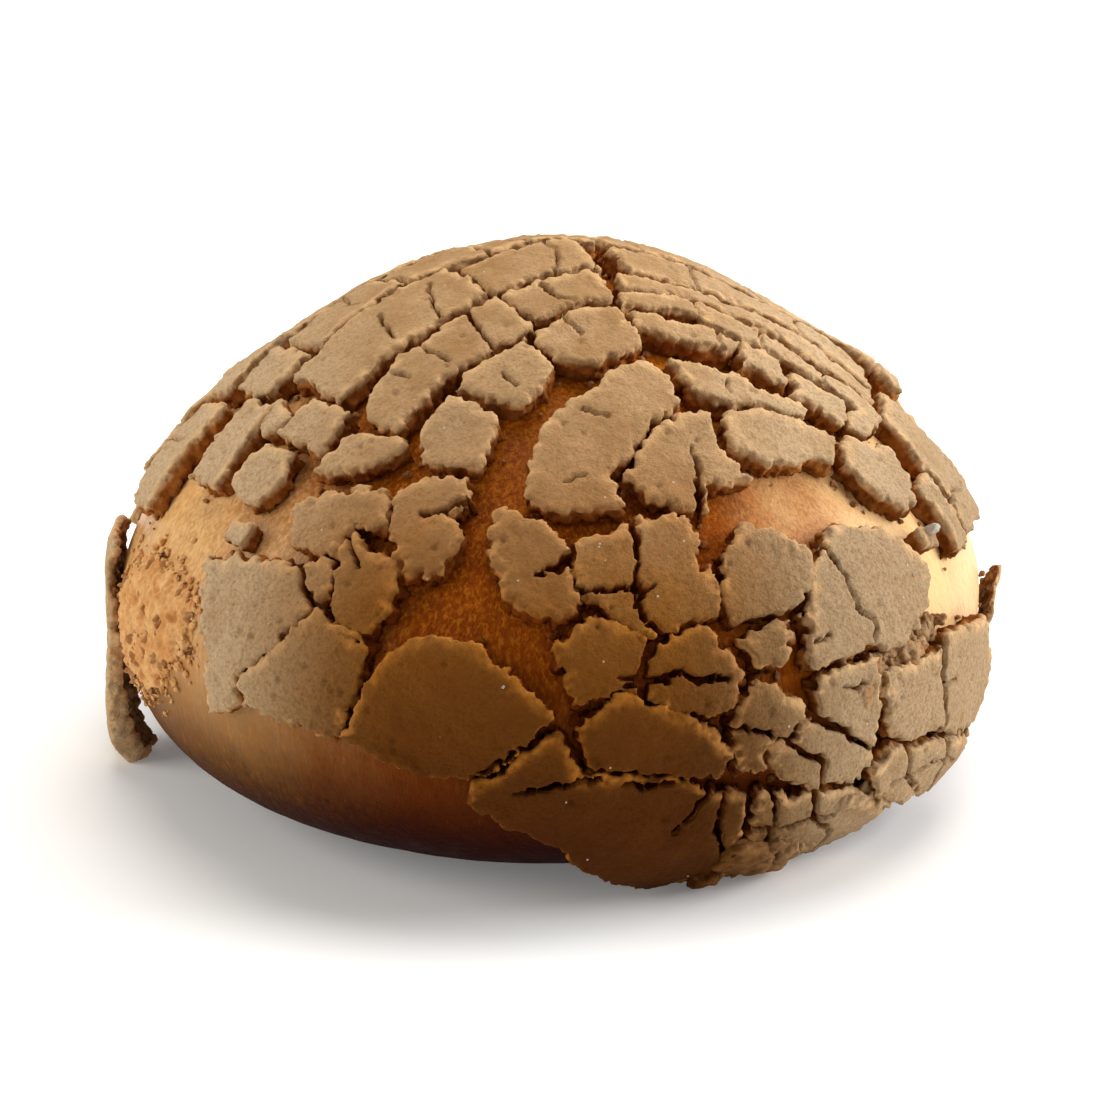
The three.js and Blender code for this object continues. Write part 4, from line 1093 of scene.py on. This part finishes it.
def bun_points(segments, rings, relief):
    """Crust on a grid of azimuth and elevation, and its apex: heart + d * reach(d) + normal * relief * bumps.

    The bumps are a slow swell and finer streaks drawn out along Z, and fade out at the foot."""
    lowest = -math.degrees(math.atan(HEART / FOOT))
    azimuth = np.arange(segments) * 360 / segments
    elevation = lowest + (90 - lowest) * (np.arange(rings) / rings)
    d = compass(azimuth[None, :], elevation[:, None])
    points = HEART_POINT + d * reach(d)[..., None]
    drawn = points * np.array([1.0, 1.0, 0.25])
    bumps = 0.5 * fractal(points, 9.0, 3, 51) + 0.3 * fractal(drawn, 2.6, 3, 52) - 0.3
    bumps *= smooth(lowest, lowest + 8, elevation)[:, None]
    points = points + crust_normal(d) * (relief * bumps)[..., None]
    points[0, :, 2] = 0.0
    points = points.reshape(-1, 3)
    apex = HEART_POINT + compass(0.0, 90.0) * reach(compass(0.0, 90.0))
    return points, apex


class BREAD_OT_crust(bpy.types.Operator):
    """Bake the bun's crust"""

    bl_idname = "bread.crust"
    bl_label = "Crust"

    def execute(self, context):
        look = context.scene.bread.crust
        columns, rows = look.segments, look.rings
        points, apex = bun_points(columns, rows, look.relief / MM)
        faces = grid_faces(rows, columns)
        around = np.arange(columns)
        following = (around + 1) % columns
        last = (rows - 1) * columns
        foot, top = len(points), len(points) + 1
        points = np.concatenate([points, [[0.0, 0.0, 0.0]], [apex]])
        pole = np.stack([last + around, last + following, np.full(columns, top)], -1)
        sole = np.stack([following, around, np.full(columns, foot)], -1)
        add_mixed("crust", points, [faces, pole, sole], material_for("crust", look), ("bun",))
        return {"FINISHED"}


# Which solids each operator covers; the loose flakes each with a roughness and a growth in millimetres.
SHELL = [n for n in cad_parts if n.startswith(("row", "edge"))]
MIDDLE = ["leaf", "tongue", "brow", "shield", "small_shield"]
FLAKES = {"flap_left": (0.8, 0.0), "flap_right": (0.5, 0.35)}
FRONT = [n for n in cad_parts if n.startswith(("crackle", "left"))]
SKIRT = [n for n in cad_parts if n.startswith("skirt")]
HAIRLINE_SPACING = 13.0          # millimetres of row between two hairline cracks, on average


def hairlines(node, solid):
    """Seeded hairline cracks across a long row: a few wandering lines of constant bearing from the pivot."""
    if node in CRACKS or not node.startswith(("row", "edge")):
        return []
    flat = to_chart(solid.start)
    bearing = np.degrees(np.arctan2(flat[:, 0], flat[:, 1]))
    distance = np.hypot(flat[:, 0], flat[:, 1])
    first, last = bearing.min(), bearing.max()
    middle = math.radians(float(distance.mean()))
    run = math.radians(last - first) * RADIUS * math.sin(middle) * 0.8
    rng = np.random.default_rng(sum(map(ord, node)))
    count = int(run / HAIRLINE_SPACING)
    lines = []
    for k in range(count):
        at = first + (last - first) * (k + 0.5 + rng.uniform(-0.3, 0.3)) / count
        near, far = distance.min() - 2, distance.max() + 2
        reached = rng.uniform(0.45, 1.0)
        out = near + (far - near) * reached * np.linspace(0, 1, 5)
        out = out if rng.uniform() < 0.6 else near + far - out
        turn = at + rng.uniform(-1.0, 1.0, 5)
        width = np.linspace(rng.uniform(0.3, 0.6), 0.16, 5)
        lines.append([(r * math.sin(math.radians(t)), r * math.cos(math.radians(t)), w)
                      for r, t, w in zip(out, turn, width)])
    return lines


def lay_paste(look, names, hanging=False, rough=1.0, grow=0.0, flare=0.0):
    """Lays these pieces over their solids."""
    material = material_for("paste", look)
    for name in names:
        solid = Solid(name)
        seed = sum(map(ord, name))
        lines = CRACKS.get(name, []) + hairlines(name, solid)
        cracks = [jagged(line, seed + k) for k, line in enumerate(lines)]
        paste_piece("paste_" + name, solid, look, material, cracks, hanging, rough, seed % 97, (name,),
                    grow=grow, flare=flare)


class BREAD_OT_shell(bpy.types.Operator):
    """Lay the scored rows of the shell"""

    bl_idname = "bread.shell"
    bl_label = "Shell rows"

    def execute(self, context):
        lay_paste(context.scene.bread.paste, SHELL)
        return {"FINISHED"}


class BREAD_OT_middle(bpy.types.Operator):
    """Lay the large curved pieces in the middle of the shell"""

    bl_idname = "bread.middle"
    bl_label = "Shell middle"

    def execute(self, context):
        lay_paste(context.scene.bread.paste, MIDDLE)
        return {"FINISHED"}


class BREAD_OT_crackle(bpy.types.Operator):
    """Lay the crackled front and the broken pieces at the left"""

    bl_idname = "bread.crackle"
    bl_label = "Crackled front"

    def execute(self, context):
        lay_paste(context.scene.bread.paste, FRONT, rough=1.4, grow=0.45, flare=0.34)
        return {"FINISHED"}


class BREAD_OT_skirt(bpy.types.Operator):
    """Lay the skirt that has slid down the front"""

    bl_idname = "bread.skirt"
    bl_label = "Skirt"

    def execute(self, context):
        lay_paste(context.scene.bread.paste, SKIRT, rough=1.1)
        return {"FINISHED"}


class BREAD_OT_flakes(bpy.types.Operator):
    """Hang the two loose flakes at the sides"""

    bl_idname = "bread.flakes"
    bl_label = "Loose flakes"

    def execute(self, context):
        for name, (rough, grow) in FLAKES.items():
            lay_paste(context.scene.bread.paste, [name], hanging=True, rough=rough, grow=grow)
        return {"FINISHED"}


class BREAD_OT_chips(bpy.types.Operator):
    """Lay the small chips beside the larger pieces"""

    bl_idname = "bread.chips"
    bl_label = "Chips"

    def execute(self, context):
        look = context.scene.bread.paste
        material = material_for("paste", look)
        for k, (name, (outline, thickness)) in enumerate(CHIPS.items()):
            paste_piece(name, Patch(on_chart(outline), thickness), look, material, rough=0.7, seed=k)
        return {"FINISHED"}


def heap_crumbs(material):
    """Heaps crumbs of paste at random along the ledge, lower the further they lie beside its middle line."""
    rng = np.random.default_rng(HEAP_SEED)
    line = np.array(LEDGE)
    at = rng.uniform(0, len(line) - 1, HEAPED)
    azimuth, elevation = (np.interp(at, np.arange(len(line)), line[:, k]) for k in range(2))
    aside = rng.normal(0, HEAP_STRAY, (2, HEAPED))
    base, normal = crust_at(compass(azimuth + aside[0], elevation + aside[1]))
    radii = rng.uniform(*HEAP_RADII, HEAPED)
    height = rng.uniform(*HEAP_HEIGHTS, HEAPED) * np.exp(-np.abs(aside[1]))
    blobs("folds", base + normal * height[:, None], normal, radii, material, "topping", HEAP_SEED,
          divisions=3, ragged_by=0.75, flat=0.85, depth=0.24)


class BREAD_OT_lumps(bpy.types.Operator):
    """Press the rounded lumps on the skirt's rims and at its foot"""

    bl_idname = "bread.lumps"
    bl_label = "Lumps"

    def execute(self, context):
        material = material_for("paste", context.scene.bread.paste)
        for name, table, seed, sunk, size, roughness, depth in LUMP_SETS:
            table = np.array(table)
            base, normal = crust_at(compass(table[:, 0], table[:, 1]))
            centres = base + normal * (table[:, 2:3] - sunk)
            centres[:, 2] = np.maximum(centres[:, 2], 0.5 * table[:, 3])
            blobs(name, centres, normal, table[:, 3] * size, material, "topping", seed, divisions=4,
                  ragged_by=roughness, flat=0.7, angular=True, depth=depth)
        heap_crumbs(material)
        return {"FINISHED"}


class BREAD_OT_torn_skin(bpy.types.Operator):
    """Tear the skin open beside the loose flake at the left"""

    bl_idname = "bread.torn_skin"
    bl_label = "Torn skin"

    def execute(self, context):
        bread = context.scene.bread
        outline = np.array(TORN_SKIN, float)
        corners = compass(outline[:, 0], outline[:, 1])
        material = material_for("crumb", bread.crust)
        paste_piece("torn_skin", Patch(corners, TORN_THICKNESS), bread.paste, material, rough=1.6, seed=31,
                    sponge=1.0, taper=3.0, finer=1.6)
        rng = np.random.default_rng(33)
        share = rng.uniform(0, len(corners), TORN_CRUMBS)
        first = share.astype(int)
        along = (share - first)[:, None]
        spot = corners[first] * (1 - along) + corners[(first + 1) % len(corners)] * along
        base, normal = crust_at(unit(spot + rng.normal(0, TORN_CRUMB_STRAY, (TORN_CRUMBS, 3))))
        radii = TORN_CRUMB_RADIUS * rng.uniform(0.4, 1.3, TORN_CRUMBS) ** 1.5
        blobs("torn_crumbs", base + normal * (0.3 * radii)[:, None], normal, radii, material, "crust", 34,
              divisions=2, ragged_by=0.8, depth=0.25)
        return {"FINISHED"}


def scatter_at(rng, kind, count):
    """Random places among the perches of a kind: points, normals and, at a foot, ways outward."""
    gathered = [np.concatenate(columns) for columns in zip(*PERCHES[kind])]
    chosen = rng.integers(0, len(gathered[0]), count)
    return [column[chosen] for column in gathered]


class BREAD_OT_crumbs(bpy.types.Operator):
    """Scatter the crumbs that have fallen beside the paste"""

    bl_idname = "bread.crumbs"
    bl_label = "Crumbs"

    def execute(self, context):
        bread = context.scene.bread
        look = bread.scatter
        rng = np.random.default_rng(look.seed)
        point, normal, out = scatter_at(rng, "foot", look.crumbs)
        radii = look.crumb_size / MM * rng.uniform(0.45, 1.5, look.crumbs) ** 1.4
        point = point + out * rng.uniform(-0.3, 1.0, (look.crumbs, 1)) + normal * (0.35 * radii)[:, None]
        keep = point[:, 2] > LOWEST_CRUMB
        blobs("crumbs", point[keep], normal[keep], radii[keep], material_for("paste", bread.paste), "topping",
              look.seed, divisions=2, ragged_by=0.8, depth=0.3)
        return {"FINISHED"}


class BREAD_OT_sugar(bpy.types.Operator):
    """Scatter the grains of sugar"""

    bl_idname = "bread.sugar"
    bl_label = "Sugar"

    def execute(self, context):
        bread = context.scene.bread
        look = bread.scatter
        rng = np.random.default_rng(look.seed + 1)
        point, normal = scatter_at(rng, "face", look.grains)
        radii = look.grain_size / MM * rng.uniform(0.4, 1.2, look.grains)
        base, out = crust_at(on_chart([CRYSTAL]))
        point = np.concatenate([point, base + CRYSTAL_HEIGHT * out])
        normal = np.concatenate([normal, out])
        radii = np.r_[radii, CRYSTAL_RADIUS]
        blobs("sugar", point, normal, radii, material_for("sugar", bread.paste), "topping", look.seed,
              divisions=2, ragged_by=0.3, flat=1.1, angular=True)
        return {"FINISHED"}


def hold(name, data, place, facing):
    """Object that holds a lamp or camera at a place, turned to face along a direction."""
    holder = bpy.data.objects.new(name, data)
    holder.location = place
    holder.rotation_euler = facing.to_track_quat("-Z", "Y").to_euler()
    bpy.context.scene.collection.objects.link(holder)
    return holder


class BREAD_OT_stage(bpy.types.Operator):
    """Set the floor, the light and the camera"""

    bl_idname = "bread.stage"
    bl_label = "Stage"

    def execute(self, context):
        look = context.scene.bread.stage
        scene = context.scene
        floor = bpy.data.meshes.new("floor")
        corners = [(x * FLOOR_HALF, y * FLOOR_HALF, 0) for x, y in ((-1, -1), (1, -1), (1, 1), (-1, 1))]
        floor.from_pydata(corners, [], [(0, 1, 2, 3)])
        floor.materials.append(material_for("floor", look))
        piece = bpy.data.objects.new("floor", floor)
        scene.collection.objects.link(piece)

        world = bpy.data.worlds.new("studio")
        world.use_nodes = True
        background = world.node_tree.nodes["Background"]
        background.inputs["Color"].default_value = SKY_TONE
        background.inputs["Strength"].default_value = look.sky
        scene.world = world

        for name, at, size, share, tone in LAMPS:
            lamp = bpy.data.lights.new(name, "AREA")
            lamp.shape, lamp.size, lamp.energy, lamp.color = "DISK", size, look.key * share, tone
            hold(name, lamp, Vector(at), Vector(LAMP_TARGET) - Vector(at))

        camera = bpy.data.cameras.new("camera")
        camera.lens, camera.sensor_width = look.lens, SENSOR
        camera.clip_start, camera.clip_end = 0.01, 10.0
        back = Vector((0.0, -math.cos(look.elevation), math.sin(look.elevation)))
        scene.camera = hold("camera", camera, Vector(LOOKED_AT) + back * look.distance, -back)
        scene.view_settings.view_transform = "Standard"
        return {"FINISHED"}


class BREAD_PT_panel(bpy.types.Panel):
    """Lists the bread's pieces and settings"""

    bl_idname = "BREAD_PT_panel"
    bl_label = "Shell bread"
    bl_space_type = "VIEW_3D"
    bl_region_type = "UI"
    bl_category = "Bread"

    def draw(self, context):
        """Gives a button for each operator, then the settings in boxes."""
        for operator in OPERATORS:
            self.layout.operator(operator.bl_idname)
        for group in ("paste", "crust", "scatter", "stage"):
            look = getattr(context.scene.bread, group)
            box = self.layout.box()
            for name in look.bl_rna.properties.keys():
                if name not in ("rna_type", "name"):
                    box.prop(look, name)


LOOKS = (PasteLook, CrustLook, ScatterLook, StageLook, BreadLook)
OPERATORS = (BREAD_OT_crust, BREAD_OT_shell, BREAD_OT_middle, BREAD_OT_crackle, BREAD_OT_skirt,
             BREAD_OT_flakes, BREAD_OT_chips, BREAD_OT_lumps, BREAD_OT_torn_skin, BREAD_OT_crumbs,
             BREAD_OT_sugar, BREAD_OT_stage)


def register():
    """Registers the settings, operators and panel, and hangs the settings on the scene."""
    for made in (*LOOKS, *OPERATORS, BREAD_PT_panel):
        bpy.utils.register_class(made)
    bpy.types.Scene.bread = PointerProperty(type=BreadLook)


def unregister():
    """Takes back what register() did, in the opposite order."""
    del bpy.types.Scene.bread
    for made in (BREAD_PT_panel, *reversed(OPERATORS), *reversed(LOOKS)):
        bpy.utils.unregister_class(made)


def main():
    """Runs every operator in order."""
    register()
    for operator in OPERATORS:
        group, name = operator.bl_idname.split(".")
        getattr(getattr(bpy.ops, group), name)()


if __name__ == "__main__":
    main()
